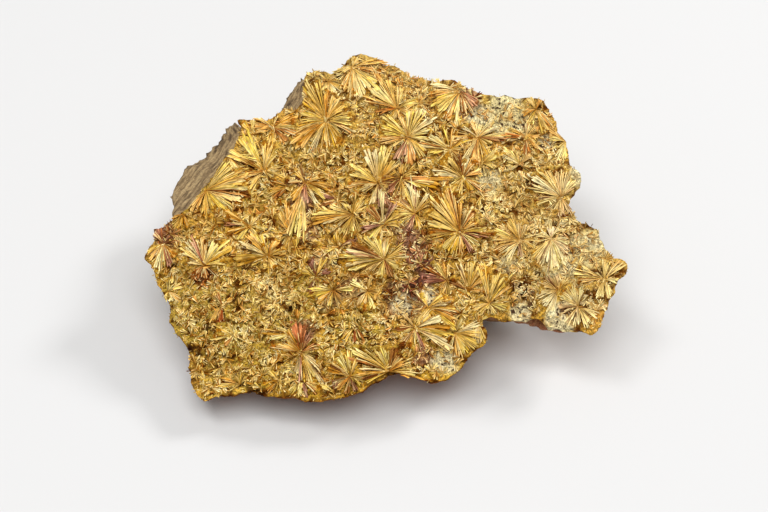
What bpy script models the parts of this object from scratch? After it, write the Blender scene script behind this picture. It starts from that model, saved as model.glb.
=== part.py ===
"""A pyrophyllite specimen: a slab of host rock whose top face carries a crust of crystal fans.

Metres, +Z up. The specimen rests on the flat patch under it. The origin is the middle of the bottom of its
bounding box. Its crystal face leans towards -Y, the side that the photograph was taken from.
"""

import math

import bmesh
import bpy
from mathutils import Vector, geometry, noise

MM = 0.001

# The crystal face: how it leans, and where its middle lies above the floor
FACE_LEAN = math.radians(18.0)
FACE_ROLL = math.radians(2.0)
FACE_MIDDLE = Vector((0.0, -5.5 * MM, 16.6 * MM))

# The crust and the gap that parts it from the rock
CRUST_THICKNESS = 3.2 * MM
CRUST_GAP = 0.3 * MM
CRUST_UNDERCUT = 1.3 * MM
WALL_DEPTH = 0.45
WALL_UNDERCUT = 0.5 * MM
WALL_ROUGHNESS = 0.4 * MM
WALL_GRAIN = 1.6 * MM
MESH_SPACING = 5.6 * MM
MESH_MARGIN = 2.4 * MM
LATTICE_WAVE = 1.3
LATTICE_SWAY = 0.45
MERGE_NEARNESS = 1e-6
WAVE_OFFSET = 17.0
GRAIN_HEIGHT = 0.7 * MM
GRAIN_LENGTH = 7.0 * MM

# The crystal fans: a ridge stands FAN_RISE above the crust at the rim of a fan of that reach
FAN_RISE = 1.7 * MM
FAN_RISE_REACH_PX = 30.0
FAN_HEEL_RISE = -0.3 * MM
FLUTE_HALF_WIDTH = 4.6
VALLEY_RISE = 0.45
VALLEY_REACH = 0.9
RIM_STEP = 0.45 * MM
EDGE_TAPER = 2.2 * MM
FAN_EDGE_SLACK = 0.001
POINT_CELL = 0.38 * MM

# The felt of small crystals between the fans
TUFT_SPACING = 2.3 * MM
TUFT_RISE = 2.0 * MM
TUFT_LENGTH = 1.7 * MM

# The host rock under the crust
LEFT_BREAK_DEPTH = 4.5 * MM
UPPER_BREAK_DEPTH = 1.5 * MM
BASE_SIZE = (44.0 * MM, 34.0 * MM)
BASE_MIDDLE = Vector((-3.0 * MM, 2.0 * MM))
BASE_UNEVENNESS = 0.12
BRIM_SHARE = 0.06
FLANK_LEVELS = (0.25, 0.52, 0.8)
FLANK_CURVE = 1.3
FLANK_BULGE = 0.85
FLANK_ROUGHNESS = 1.0 * MM
FLANK_GRAIN = 8.0 * MM

# The line of sight of the photograph, whose frame is 768 by 512 pixels
SIGHT_ELEVATION = math.radians(48.0)
SIGHT_DISTANCE = 430.0 * MM
FOCAL_PX = 2240.0
FRAME_MIDDLE_PX = (384.0, 256.0)
SIGHT_ROUNDS = 5

# The edge of the crust in pixels, clockwise. Along a break the bare side of the rock shows, down to its foot
LEFT_BREAK_EDGE_PX = (
    (183, 211), (190, 207), (193, 199), (199, 192), (204, 186), (209, 178), (216, 168), (222, 160),
    (229, 154), (233, 147), (236, 141), (240, 133), (241, 124), (236, 119))
LEFT_BREAK_FOOT_PX = (
    (172, 218), (170, 207), (170.5, 195), (173, 183), (178, 174), (192, 163), (199, 160.5), (211, 148.5),
    (223, 135), (233, 119))
TOP_EDGE_PX = ((248, 118.5), (263, 120))
UPPER_BREAK_EDGE_PX = ((279, 110), (290, 108), (301, 104), (303, 94), (303, 84), (304, 73))
UPPER_BREAK_FOOT_PX = ((278, 109), (286, 100), (292, 88), (302, 72))
OUTER_EDGE_PX = (
    (313, 69), (330, 71), (343.5, 64), (350, 54.6), (364, 54), (376, 56.5), (383, 62.5), (392, 63),
    (402, 67.5), (414, 77), (437, 78.5), (454, 78), (468, 85.5), (478, 91), (500, 94), (516, 96),
    (538, 95), (545, 101), (552, 110.5), (557, 123), (559, 135), (566, 141.5), (569, 159), (575, 167),
    (582, 172.5), (583, 179.5), (578, 190), (569, 204), (575, 212), (578, 219), (587, 222.5),
    (597, 229), (602, 239.5), (609, 253.5), (616, 257.5), (625, 257.5), (629, 265.5), (628, 274),
    (618.5, 279), (617, 288), (610, 300), (605.5, 314), (600.5, 326), (592.5, 334), (580, 330),
    (562.5, 332), (554, 328), (545, 327.5), (537, 316), (526, 320), (504, 320.5), (490, 317),
    (483, 319), (486, 327.5), (489.5, 333.5), (485, 346.5), (476, 350), (469.5, 357), (462.5, 369),
    (449, 377.5), (432, 382.5), (414, 378), (400, 372), (394, 374), (380, 381), (361, 391),
    (343.5, 398), (319, 403), (302, 400.5), (292, 396), (264, 396), (250.5, 391), (237, 394.5),
    (218, 396), (204, 401.5), (195, 394.5), (190, 382.5), (188, 365), (189, 353), (187, 345),
    (176.5, 334), (168, 322), (169, 310), (166, 300), (156, 283), (152.5, 269), (143, 256),
    (152.5, 241), (154, 229), (163, 225), (173, 218))

# Broad swells and hollows of the face: pixel, radius and height in millimetres
SWELLS = (
    ((212, 205), 9.0, 1.6), ((262, 170), 7.0, 1.2), ((328, 118), 9.0, 2.0), ((360, 64), 5.0, 1.2),
    ((410, 135), 8.0, 1.4), ((462, 150), 7.0, 1.0), ((378, 185), 7.0, 1.2), ((452, 215), 9.0, 2.2),
    ((360, 245), 9.0, 1.0), ((566, 195), 8.0, 1.8), ((550, 262), 7.0, 1.4), ((600, 275), 5.0, 1.6),
    ((400, 350), 9.0, 1.4), ((316, 350), 8.0, 1.0), ((185, 258), 7.0, 1.0), ((462, 300), 6.0, 1.0),
    ((268, 298), 8.0, -1.8), ((212, 350), 8.0, -1.4), ((500, 110), 7.0, -1.2), ((494, 182), 5.0, -1.2),
    ((592, 245), 4.0, -1.2), ((402, 300), 5.0, -1.2), ((447, 358), 5.0, -1.6), ((340, 292), 5.0, -0.8),
    ((305, 205), 5.0, -1.0), ((524, 306), 4.0, -1.4))

# Open pits in the crust: pixel, radius and depth in millimetres
PITS = (
    ((197, 319), 1.0, 1.2), ((206, 334), 1.1, 1.4), ((216, 342), 0.9, 1.1), ((203, 355), 1.0, 1.2),
    ((184, 296), 1.1, 1.3), ((214, 304), 0.8, 1.0), ((238, 306), 0.9, 1.0), ((251, 363), 0.9, 1.1),
    ((290, 308), 1.2, 1.2), ((524, 293), 2.2, 2.0), ((542, 148), 0.9, 1.1), ((576, 309), 1.5, 1.3),
    ((460, 204), 0.9, 1.2), ((459, 237), 1.3, 1.2), ((468, 106), 1.0, 1.0), ((417, 246), 1.0, 1.0))
PIT_SIDES = 6

# Fans: centre pixel, then for each fan its direction and half width in degrees and its reach in pixels.
# Directions turn anticlockwise from the right of the frame.
FANS = (
    ((206, 190), ((45, 12, 33), (20, 12, 45), (3, 5, 38), (352, 5, 44), (340, 6, 38), (320, 10, 30),
     (295, 12, 22), (270, 10, 28), (238, 12, 24))),
    ((264, 171), ((155, 8, 40), (120, 10, 40), (192, 13, 30), (228, 10, 22), (80, 14, 30))),
    ((273, 127), ((175, 9, 24), (152, 9, 28), (22, 15, 24), (2, 5, 22), (340, 9, 25), (310, 12, 20),
     (260, 16, 18))),
    ((326, 120), ((166, 11, 22), (141, 10, 28), (113, 13, 41), (88, 6, 30), (182, 5, 22), (195, 7, 28),
     (216, 12, 38), (245, 5, 34), (270, 11, 28), (301, 12, 30), (335, 6, 28), (350, 7, 26), (8, 8, 28),
     (38, 13, 24), (65, 10, 26))),
    ((352, 67), ((250, 11, 24), (275, 13, 30), (301, 12, 32), (325, 11, 34), (346, 8, 30), (10, 9, 26),
     (70, 22, 10), (200, 16, 10))),
    ((397, 108), ((166, 7, 32), (143, 11, 32), (116, 12, 30), (76, 12, 20), (18, 10, 20), (344, 8, 18),
     (195, 8, 20))),
    ((408, 137), ((36, 6, 31), (60, 11, 30), (86, 9, 28), (110, 7, 26), (141, 12, 30), (166, 9, 30),
     (190, 8, 28), (16, 8, 24), (350, 8, 22), (248, 14, 26), (280, 14, 26), (311, 12, 24))),
    ((450, 149), ((105, 6, 22), (76, 12, 20), (30, 10, 22), (171, 7, 28), (148, 10, 22), (196, 8, 20),
     (238, 12, 18), (300, 12, 18))),
    ((478, 137), ((151, 6, 20), (190, 11, 24), (112, 15, 16), (25, 8, 22), (3, 6, 30), (351, 5, 28),
     (264, 11, 28), (242, 6, 30), (292, 10, 20))),
    ((460, 91), ((186, 6, 32), (204, 8, 30), (225, 9, 30), (245, 8, 32), (262, 6, 28), (287, 13, 22),
     (320, 12, 22), (169, 6, 26))),
    ((378, 183), ((106, 14, 36), (78, 10, 34), (52, 11, 28), (154, 13, 30), (184, 8, 30), (203, 9, 18),
     (255, 8, 22), (287, 14, 24), (2, 8, 16), (26, 10, 18))),
    ((305, 182), ((299, 6, 22), (324, 9, 24), (345, 9, 26), (20, 14, 18), (267, 15, 22), (235, 12, 22),
     (180, 8, 20), (130, 14, 14))),
    ((353, 214), ((178, 6, 36), (190, 4, 38), (198, 4, 32), (222, 5, 24), (244, 9, 22), (266, 8, 20),
     (163, 6, 22), (60, 20, 14))),
    ((383, 224), ((92, 5, 34), (60, 10, 22), (30, 10, 20), (130, 14, 20), (196, 10, 22), (237, 9, 22),
     (264, 6, 20), (0, 13, 16))),
    ((384, 259), ((171, 5, 34), (158, 6, 34), (132, 8, 26), (109, 9, 24), (90, 5, 20), (75, 6, 18),
     (178, 3, 42), (185, 3, 46), (191, 3, 42), (200, 4, 32), (222, 9, 20), (256, 10, 20), (292, 12, 18),
     (330, 13, 18))),
    ((250, 226), ((155, 9, 26), (177, 5, 24), (201, 10, 24), (301, 7, 24), (60, 18, 12), (231, 9, 18))),
    ((268, 256), ((187, 4, 40), (197, 4, 30), (134, 9, 28), (157, 7, 30), (110, 8, 20), (62, 15, 18),
     (20, 12, 16), (300, 15, 14))),
    ((204, 265), ((127, 5, 30), (113, 5, 28), (90, 11, 24), (63, 7, 26), (47, 6, 32), (31, 6, 30),
     (145, 10, 26), (167, 11, 18), (8, 8, 22), (225, 15, 14), (275, 18, 12))),
    ((163, 243), ((263, 11, 26), (235, 10, 20), (212, 8, 19), (287, 10, 22), (312, 12, 18),
     (120, 24, 14))),
    ((460, 232), ((148, 7, 38), (166, 7, 34), (132, 7, 42), (118, 7, 43), (104, 7, 44), (90, 6, 26),
     (76, 6, 24), (56, 6, 26), (31, 9, 20), (180, 4, 32), (190, 4, 32), (356, 3, 34), (346, 4, 28),
     (5, 5, 28), (225, 8, 24), (250, 9, 22), (275, 10, 22), (300, 9, 24), (326, 8, 22))),
    ((415, 213), ((113, 5, 28), (101, 4, 32), (90, 4, 28), (80, 4, 26), (55, 6, 22), (34, 9, 18),
     (135, 8, 22), (155, 6, 24), (172, 7, 20), (190, 8, 20), (216, 9, 18), (250, 13, 16), (290, 12, 16))),
    ((401, 178), ((307, 6, 26), (285, 6, 22), (335, 6, 26), (352, 6, 30), (185, 10, 18), (225, 12, 18),
     (90, 14, 14))),
    ((463, 177), ((176, 5, 28), (151, 7, 28), (129, 7, 27), (97, 8, 22), (78, 6, 26), (55, 10, 22),
     (18, 10, 18), (325, 7, 22), (300, 9, 16), (257, 10, 18), (230, 9, 20))),
    ((561, 197), ((145, 6, 36), (131, 6, 34), (118, 6, 30), (103, 6, 28), (88, 5, 28), (72, 6, 26),
     (55, 8, 22), (38, 6, 14), (157, 4, 32), (168, 5, 36), (187, 4, 28), (197, 5, 28), (250, 9, 18),
     (272, 11, 20), (300, 8, 20))),
    ((520, 240), ((131, 6, 24), (115, 5, 24), (95, 9, 18), (70, 8, 18), (164, 8, 26), (185, 7, 26),
     (205, 7, 28), (221, 5, 24), (241, 8, 28), (330, 8, 14), (272, 10, 16))),
    ((551, 238), ((272, 13, 34), (245, 11, 34), (223, 7, 26), (290, 4, 28), (300, 4, 30), (313, 4, 24),
     (326, 5, 22), (345, 6, 18), (90, 24, 10), (150, 12, 14))),
    ((604, 279), ((156, 6, 30), (173, 6, 30), (185, 5, 26), (82, 14, 18), (40, 13, 24), (350, 12, 14),
     (290, 13, 18), (255, 12, 20))),
    ((558, 290), ((131, 8, 18), (160, 13, 18), (195, 11, 20), (225, 11, 20), (252, 10, 28), (92, 9, 14),
     (45, 14, 14), (330, 10, 16))),
    ((578, 306), ((151, 8, 22), (131, 8, 22), (110, 8, 20), (181, 7, 18), (75, 8, 18), (240, 10, 22),
     (300, 12, 24), (332, 8, 22), (268, 10, 20))),
    ((489, 303), ((38, 5, 28), (54, 8, 32), (75, 8, 30), (98, 9, 34), (340, 14, 20), (200, 14, 18))),
    ((468, 290), ((80, 9, 26), (60, 9, 26), (35, 9, 22), (111, 8, 26), (150, 12, 20), (355, 7, 16))),
    ((447, 280), ((168, 6, 24), (150, 6, 24), (129, 7, 24), (105, 7, 18), (186, 8, 22))),
    ((428, 307), ((345, 5, 32), (332, 5, 32), (320, 5, 32), (356, 4, 26), (8, 7, 22), (32, 12, 20),
     (120, 14, 16), (240, 12, 18))),
    ((415, 328), ((20, 8, 26), (43, 11, 22), (355, 4, 32), (345, 5, 36), (330, 8, 38), (252, 7, 22),
     (232, 8, 24), (290, 8, 24), (182, 10, 20))),
    ((455, 333), ((279, 9, 24), (303, 10, 24), (330, 10, 26), (357, 11, 24), (20, 9, 24))),
    ((389, 371), ((160, 4, 38), (151, 5, 42), (138, 5, 34), (121, 7, 26), (100, 9, 24), (78, 9, 24),
     (58, 8, 20), (177, 3, 32), (188, 4, 34), (198, 3, 32), (207, 4, 28), (30, 12, 18), (350, 7, 30),
     (343, 4, 42))),
    ((350, 376), ((167, 9, 22), (148, 6, 20), (120, 10, 24), (95, 9, 26), (66, 8, 20), (205, 7, 20),
     (226, 9, 18), (260, 10, 18), (292, 9, 18), (320, 7, 15))),
    ((301, 352), ((105, 9, 28), (84, 8, 28), (126, 9, 24), (150, 9, 18), (60, 12, 20), (20, 14, 18),
     (258, 6, 26), (270, 4, 28), (282, 5, 30), (295, 5, 34), (305, 3, 38), (315, 4, 30), (324, 4, 24),
     (168, 5, 32))),
    ((301, 379), ((316, 6, 22), (335, 7, 22), (290, 8, 18), (265, 9, 16), (235, 10, 16))),
    ((316, 276), ((110, 14, 18), (62, 12, 18), (250, 12, 18), (160, 12, 16), (20, 14, 14))),
    ((333, 290), ((180, 5, 24), (198, 8, 24), (220, 9, 20), (256, 10, 16), (0, 9, 20))),
    ((367, 291), ((262, 8, 20), (236, 10, 18), (290, 10, 18), (150, 10, 18))),
    ((222, 305), ((264, 15, 17), (238, 9, 19), (120, 16, 12), (30, 14, 12))),
    ((234, 336), ((180, 4, 22), (192, 4, 22), (225, 9, 14), (160, 7, 20), (120, 8, 14))),
    ((240, 384), ((165, 8, 20), (186, 6, 20), (90, 14, 10))),
    ((278, 380), ((230, 11, 15), (195, 9, 16), (140, 12, 12))),
    ((536, 109), ((292, 8, 24), (312, 8, 22), (120, 14, 14), (60, 14, 12), (200, 12, 14), (250, 12, 16))),
    ((566, 141), ((146, 6, 20), (174, 8, 16), (245, 9, 20), (264, 7, 20))),
    ((526, 137), ((176, 6, 24), (155, 7, 20), (315, 9, 20), (270, 14, 18), (0, 8, 14))),
    ((482, 163), ((40, 8, 18), (20, 8, 18), (60, 8, 16))),
    ((520, 164), ((135, 8, 20), (155, 8, 18), (40, 12, 14))),
    ((183, 214), ((235, 9, 17), (260, 9, 16), (290, 9, 14), (203, 9, 12))),
    ((290, 233), ((96, 7, 30), (75, 8, 26), (116, 9, 22))),
    ((288, 186), ((201, 10, 20), (226, 9, 18), (160, 10, 16))),
    ((338, 200), ((165, 9, 18), (320, 9, 14), (200, 8, 18))),
)


def face_axes():
    """The unit vectors across the face, up its slope and out of it."""
    out = Vector((-math.sin(FACE_ROLL), -math.sin(FACE_LEAN), math.cos(FACE_LEAN))).normalized()
    across = (Vector((1.0, 0.0, 0.0)) - out * out.x).normalized()
    return across, out.cross(across), out


ACROSS, UPSLOPE, OUTWARD = face_axes()
SIGHT = Vector((0.0, math.cos(SIGHT_ELEVATION), -math.sin(SIGHT_ELEVATION)))
SIGHT_UP = Vector((0.0, math.sin(SIGHT_ELEVATION), math.cos(SIGHT_ELEVATION)))
SIGHT_RIGHT = Vector((1.0, 0.0, 0.0))


def spot_on_level(pixel, lift):
    """Where the line of sight through a pixel meets the face raised by lift, as metres across and up it."""
    eye = -SIGHT * SIGHT_DISTANCE
    right = pixel[0] - FRAME_MIDDLE_PX[0]
    up = FRAME_MIDDLE_PX[1] - pixel[1]
    ray = SIGHT * FOCAL_PX + SIGHT_RIGHT * right + SIGHT_UP * up
    hit = eye + ray * ((lift - eye.dot(OUTWARD)) / ray.dot(OUTWARD))
    return Vector((hit.dot(ACROSS), hit.dot(UPSLOPE)))


def place(spot, lift):
    """The point of space at a spot of the face, lifted out of it."""
    return FACE_MIDDLE + ACROSS * spot.x + UPSLOPE * spot.y + OUTWARD * lift


SWELL_SPOTS = [(spot_on_level(pixel, 0.0), radius * MM, height * MM) for pixel, radius, height in SWELLS]


def swell_height(spot):
    """The height of the face without its pits: broad swells and a fine unevenness."""
    height = GRAIN_HEIGHT * noise.noise(Vector((spot.x, spot.y, 0.0)) / GRAIN_LENGTH)
    for middle, radius, rise in SWELL_SPOTS:
        height += rise * math.exp(-(spot - middle).length_squared / (radius * radius))
    return height


def spot_of(pixel):
    """Where the line of sight through a pixel meets the uneven face."""
    spot = spot_on_level(pixel, 0.0)
    for _ in range(SIGHT_ROUNDS):
        spot = spot_on_level(pixel, swell_height(spot))
    return spot


PIT_SPOTS = [(spot_of(pixel), radius * MM, depth * MM) for pixel, radius, depth in PITS]


def face_height(spot):
    """The height of the face with its pits."""
    height = swell_height(spot)
    for middle, radius, depth in PIT_SPOTS:
        height -= depth * max(0.0, 1.0 - (spot - middle).length / radius)
    return height


def wave(spot, length):
    """A smooth uneven vector field, each part between -1 and 1."""
    at = Vector((*spot, 0.0)[:3]) / length
    return Vector([noise.noise(at + Vector((0.0, 0.0, WAVE_OFFSET * (axis + 1)))) for axis in range(3)])


def along(points, share):
    """The point at a share of the way along an open line of points."""
    lengths = [(Vector(b) - Vector(a)).length for a, b in zip(points, points[1:])]
    left = share * sum(lengths)
    for start, end, length in zip(points, points[1:], lengths):
        if left <= length:
            return Vector(start).lerp(Vector(end), left / length)
        left -= length
    return Vector(points[-1])


def break_foot(pixel, depth):
    """The foot of the bare side of the rock, which lies a depth below the crust's floor."""
    level = -CRUST_THICKNESS - CRUST_GAP - depth
    return place(spot_on_level(pixel, level), level)


def outline():
    """The crust's edge as spots of the face, and for each of them the foot of the bare rock, or None."""
    spots = []
    feet = []
    stretches = (
        (LEFT_BREAK_EDGE_PX, LEFT_BREAK_FOOT_PX, LEFT_BREAK_DEPTH), (TOP_EDGE_PX, None, 0.0),
        (UPPER_BREAK_EDGE_PX, UPPER_BREAK_FOOT_PX, UPPER_BREAK_DEPTH), (OUTER_EDGE_PX, None, 0.0))
    for edge, foot, most in stretches:
        for index, pixel in enumerate(edge):
            spots.append(spot_of(pixel))
            share = index / (len(edge) - 1)
            depth = most * math.sqrt(math.sin(math.pi * share))
            feet.append(break_foot(along(foot, share), depth) if foot else None)
    return spots, feet


def inside(spot, border):
    """Whether a spot lies inside a closed border, by counting the border's crossings."""
    found = False
    for a, b in zip(border, border[1:] + border[:1]):
        if (a.y > spot.y) == (b.y > spot.y):
            continue
        if spot.x < a.x + (b.x - a.x) * (spot.y - a.y) / (b.y - a.y):
            found = not found
    return found


def clearance(spot, border):
    """The distance from a spot to the nearest point of a closed border."""
    least = math.inf
    for a, b in zip(border, border[1:] + border[:1]):
        near, share = geometry.intersect_point_line(spot, a, b)
        near = a.lerp(b, min(1.0, max(0.0, share)))
        least = min(least, (spot - near).length)
    return least


def lattice(border, spacing, margin):
    """A wavy lattice of spots between the edges of the face."""
    spots = []
    reach = max(max(abs(spot.x), abs(spot.y)) for spot in border)
    count = math.ceil(reach / spacing)
    for row in range(-count, count + 1):
        for column in range(-count, count + 1):
            spot = Vector((column + 0.5 * (row % 2), row)) * spacing
            spot += wave(spot, LATTICE_WAVE * spacing).xy * LATTICE_SWAY * spacing
            if inside(spot, border) and clearance(spot, border) > margin:
                spots.append(spot)
    return spots


def inset(border, distance):
    """The border moved inwards by a distance."""
    moved = []
    for before, spot, after in zip(border[-1:] + border[:-1], border, border[1:] + border[:1]):
        run = (after - before).normalized()
        moved.append(spot + Vector((run.y, -run.x)) * distance)
    return moved


def to_object(name, form):
    """A new object of the scene from a bmesh, which is freed."""
    mesh = bpy.data.meshes.new(name)
    form.to_mesh(mesh)
    form.free()
    solid = bpy.data.objects.new(name, mesh)
    bpy.context.scene.collection.objects.link(solid)
    return solid


def shell(name, edge_count, top, top_triangles, rings, floor, floor_triangles):
    """One closed solid: a triangulated top, rings of points down its sides, and a floor.

    The first edge_count points of the top and of the floor are their edges, in the order of each ring. A
    floor with no triangles is one flat face.
    """
    form = bmesh.new()
    upper, *sides, lower = [[form.verts.new(point) for point in level] for level in (top, *rings, floor)]
    for triangle in top_triangles:
        form.faces.new([upper[index] for index in triangle])
    for triangle in floor_triangles:
        form.faces.new([lower[index] for index in reversed(triangle)])
    if not floor_triangles:
        form.faces.new(lower)
    levels = [level[:edge_count] for level in (upper, *sides, lower)]
    for above, below in zip(levels, levels[1:]):
        for index in range(edge_count):
            after = (index + 1) % edge_count
            form.faces.new((above[index], below[index], below[after], above[after]))
    bmesh.ops.delete(form, geom=[vertex for vertex in form.verts if not vertex.link_faces], context="VERTS")
    bmesh.ops.triangulate(form, faces=form.faces[:], quad_method="SHORT_EDGE")
    bmesh.ops.recalc_face_normals(form, faces=form.faces[:])
    return to_object(name, form)


def fan_points(centre, fan):
    """The heel and the rim of a fan, as spots with their rise above the crust: valleys and ridges in turn."""
    direction, half_width, reach = fan
    steps = 2 * max(1, round(half_width / FLUTE_HALF_WIDTH))
    points = [(spot_of(centre), FAN_HEEL_RISE)]
    for step in range(steps + 1):
        turn = math.radians(direction + half_width * (2.0 * step / steps - 1.0))
        ridge = step % 2 == 1
        out = reach * (1.0 if ridge else VALLEY_REACH)
        spot = spot_of((centre[0] + out * math.cos(turn), centre[1] - out * math.sin(turn)))
        rise = FAN_RISE * math.sqrt(reach / FAN_RISE_REACH_PX) * (1.0 if ridge else VALLEY_RISE)
        points.append((spot, rise))
    return points


FAN_POINTS = [fan_points(centre, fan) for centre, group in FANS for fan in group]


def crystal_rise(spot):
    """How far the crystals stand above the crust at a spot: the highest of the fans that cover it."""
    highest = 0.0
    for (heel, heel_rise), *rim in FAN_POINTS:
        away = spot - heel
        if away.length > (rim[1][0] - heel).length + POINT_CELL:
            continue
        for (left, left_rise), (right, right_rise) in zip(rim, rim[1:]):
            a = left - heel
            b = right - heel
            area = a.cross(b)
            along_a = away.cross(b) / area
            along_b = a.cross(away) / area
            if min(along_a, along_b, 1.0 - along_a - along_b) >= -FAN_EDGE_SLACK:
                rise = heel_rise + (left_rise - heel_rise) * along_a + (right_rise - heel_rise) * along_b
                highest = max(highest, rise)
    return highest


def crosses(start, end, border):
    """Whether a line between two spots crosses a closed border."""
    closed = border[1:] + border[:1]
    return any(geometry.intersect_line_line_2d(start, end, a, b) for a, b in zip(border, closed))


def crystal_mesh(border):
    """The spots and creases of the crystal face: its border, then each fan's heel, rim and step."""
    spots = list(border)
    creases = [(index, (index + 1) % len(border)) for index in range(len(border))]
    cells = {}

    def index_of(spot):
        cell = (round(spot.x / POINT_CELL), round(spot.y / POINT_CELL))
        if cell not in cells:
            cells[cell] = len(spots)
            spots.append(spot)
        return cells[cell]

    for (heel, _), *rim in FAN_POINTS:
        heel_index = index_of(heel)
        for step, (spot, _) in enumerate(rim):
            if not inside(spot, border) or clearance(spot, border) < 2.0 * POINT_CELL:
                continue
            index = index_of(spot)
            if index != heel_index and not crosses(heel, spot, border):
                creases.append((heel_index, index))
            foot = spot + (spot - heel).normalized() * RIM_STEP
            if step % 2 == 1 and inside(foot, border) and clearance(foot, border) > 2.0 * POINT_CELL:
                index_of(foot)
    for middle, radius, _ in PIT_SPOTS:
        index_of(middle)
        for side in range(PIT_SIDES):
            turn = math.tau * side / PIT_SIDES
            index_of(middle + Vector((math.cos(turn), math.sin(turn))) * radius)
    for spot in lattice(border, TUFT_SPACING, 0.5 * TUFT_SPACING):
        if crystal_rise(spot) == 0.0:
            index_of(spot)
    return spots, creases


def crystal_height(spot, border):
    """The height of the crystal face: the crust, its pits and the fans, which sink at the border."""
    taper = min(1.0, clearance(spot, border) / EDGE_TAPER)
    rise = crystal_rise(spot) or TUFT_RISE * wave(spot, TUFT_LENGTH).x
    return face_height(spot) + rise * taper


def crust(border, spots, triangles):
    """The crust: a slab with the fans on its face, and a floor that follows the face without them."""
    edge_count = len(border)
    fine_spots, creases = crystal_mesh(border)
    fine_spots, _, fine_triangles, *_ = geometry.delaunay_2d_cdt(fine_spots, creases, [], 1, MERGE_NEARNESS)
    top = [place(spot, crystal_height(spot, border)) for spot in fine_spots]
    under = inset(border, CRUST_UNDERCUT) + spots[edge_count:]
    floor = [place(low, swell_height(spot) - CRUST_THICKNESS) for low, spot in zip(under, spots)]
    wall = []
    for spot in inset(border, WALL_UNDERCUT):
        point = place(spot, swell_height(spot) - WALL_DEPTH * CRUST_THICKNESS)
        wall.append(point + wave(point, WALL_GRAIN) * WALL_ROUGHNESS)
    return shell("rosette_crust", edge_count, top, fine_triangles, (wall,), floor, triangles)


def base_point(brim_point):
    """The point of the flat base below a point of the rock's brim: an uneven oval."""
    offset = brim_point.xy - BASE_MIDDLE
    turn = math.atan2(offset.y / BASE_SIZE[1], offset.x / BASE_SIZE[0])
    uneven = 1.0 + BASE_UNEVENNESS * noise.noise(Vector((math.cos(turn), math.sin(turn), 2.0)) * 2.0)
    x = BASE_MIDDLE.x + 0.5 * BASE_SIZE[0] * uneven * math.cos(turn)
    y = BASE_MIDDLE.y + 0.5 * BASE_SIZE[1] * uneven * math.sin(turn)
    return Vector((x, y, 0.0))


def rock(border, feet, spots, triangles):
    """The host rock: a face below the crust's floor, broken sides, and flanks that close in to a base."""
    edge_count = len(border)
    under = inset(border, CRUST_UNDERCUT) + spots[edge_count:]
    depth = CRUST_THICKNESS + CRUST_GAP
    top = [place(low, swell_height(spot) - depth) for low, spot in zip(under, spots)]
    base = [base_point(foot or point) for point, foot in zip(top, feet)]
    brim = [foot or point.lerp(low, BRIM_SHARE) for point, foot, low in zip(top, feet, base)]
    rings = [brim]
    for level in FLANK_LEVELS:
        ring = []
        for start, end, spot, moved in zip(brim, base, border, under):
            away = (start - end).xy.normalized()
            facing_back = min(away.y, (spot - moved).y / CRUST_UNDERCUT)
            inward = level ** (FLANK_CURVE + FLANK_BULGE * facing_back)
            point = Vector((*start.xy.lerp(end.xy, inward), start.z * (1.0 - level)))
            ring.append(point + wave(point, FLANK_GRAIN) * FLANK_ROUGHNESS)
        rings.append(ring)
    return shell("host_rock", edge_count, top, triangles, rings, base, ())


def finish(name, colour, roughness):
    """A plain stone finish."""
    material = bpy.data.materials.new(name)
    material.use_nodes = True
    shader = material.node_tree.nodes["Principled BSDF"]
    shader.inputs["Base Color"].default_value = (*colour, 1.0)
    shader.inputs["Roughness"].default_value = roughness
    shader.inputs["Metallic"].default_value = 0.0
    return material


def centre_on_base(solids):
    """Moves the meshes so that the origin is the middle of the bottom of their common box."""
    points = [vertex.co for solid in solids for vertex in solid.data.vertices]
    low = Vector([min(point[axis] for point in points) for axis in range(3)])
    high = Vector([max(point[axis] for point in points) for axis in range(3)])
    shift = Vector((0.5 * (low.x + high.x), 0.5 * (low.y + high.y), low.z))
    for solid in solids:
        for vertex in solid.data.vertices:
            vertex.co -= shift


def main():
    for thing in list(bpy.data.objects):
        bpy.data.objects.remove(thing)
    border, feet = outline()
    edges = [(index, (index + 1) % len(border)) for index in range(len(border))]
    coarse = border + lattice(border, MESH_SPACING, MESH_MARGIN)
    spots, _, triangles, *_ = geometry.delaunay_2d_cdt(coarse, edges, [], 1, MERGE_NEARNESS)
    crust_solid = crust(border, spots, triangles)
    rock_solid = rock(border, feet, spots, triangles)
    crust_solid.data.materials.append(finish("gold_crystal", (0.52, 0.34, 0.09), 0.45))
    rock_solid.data.materials.append(finish("host_stone", (0.24, 0.20, 0.15), 0.9))
    centre_on_base((crust_solid, rock_solid))


main()
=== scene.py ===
"""The looks of a pyrophyllite specimen: crystal rosettes on a felted crust, on a slab of grey-brown rock."""

from __future__ import annotations

import logging
import math
from dataclasses import dataclass
from enum import Enum
from typing import ClassVar

import bmesh
import bpy
import numpy as np
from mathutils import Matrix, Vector
from mathutils.bvhtree import BVHTree


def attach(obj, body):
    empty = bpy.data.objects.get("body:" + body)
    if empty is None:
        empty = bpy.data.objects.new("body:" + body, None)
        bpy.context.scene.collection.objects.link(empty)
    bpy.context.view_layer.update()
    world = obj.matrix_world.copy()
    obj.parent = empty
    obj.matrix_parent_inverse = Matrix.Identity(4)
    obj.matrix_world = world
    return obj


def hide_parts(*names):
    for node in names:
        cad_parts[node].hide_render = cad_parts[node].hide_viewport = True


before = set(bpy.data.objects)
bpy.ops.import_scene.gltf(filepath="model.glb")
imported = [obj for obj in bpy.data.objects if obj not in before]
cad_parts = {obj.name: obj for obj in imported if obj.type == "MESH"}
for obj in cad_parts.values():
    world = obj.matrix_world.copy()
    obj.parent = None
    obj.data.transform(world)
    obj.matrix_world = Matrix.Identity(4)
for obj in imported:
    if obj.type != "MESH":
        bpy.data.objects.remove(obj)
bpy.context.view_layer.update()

MM = 0.001
log = logging.getLogger("specimen")


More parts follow.
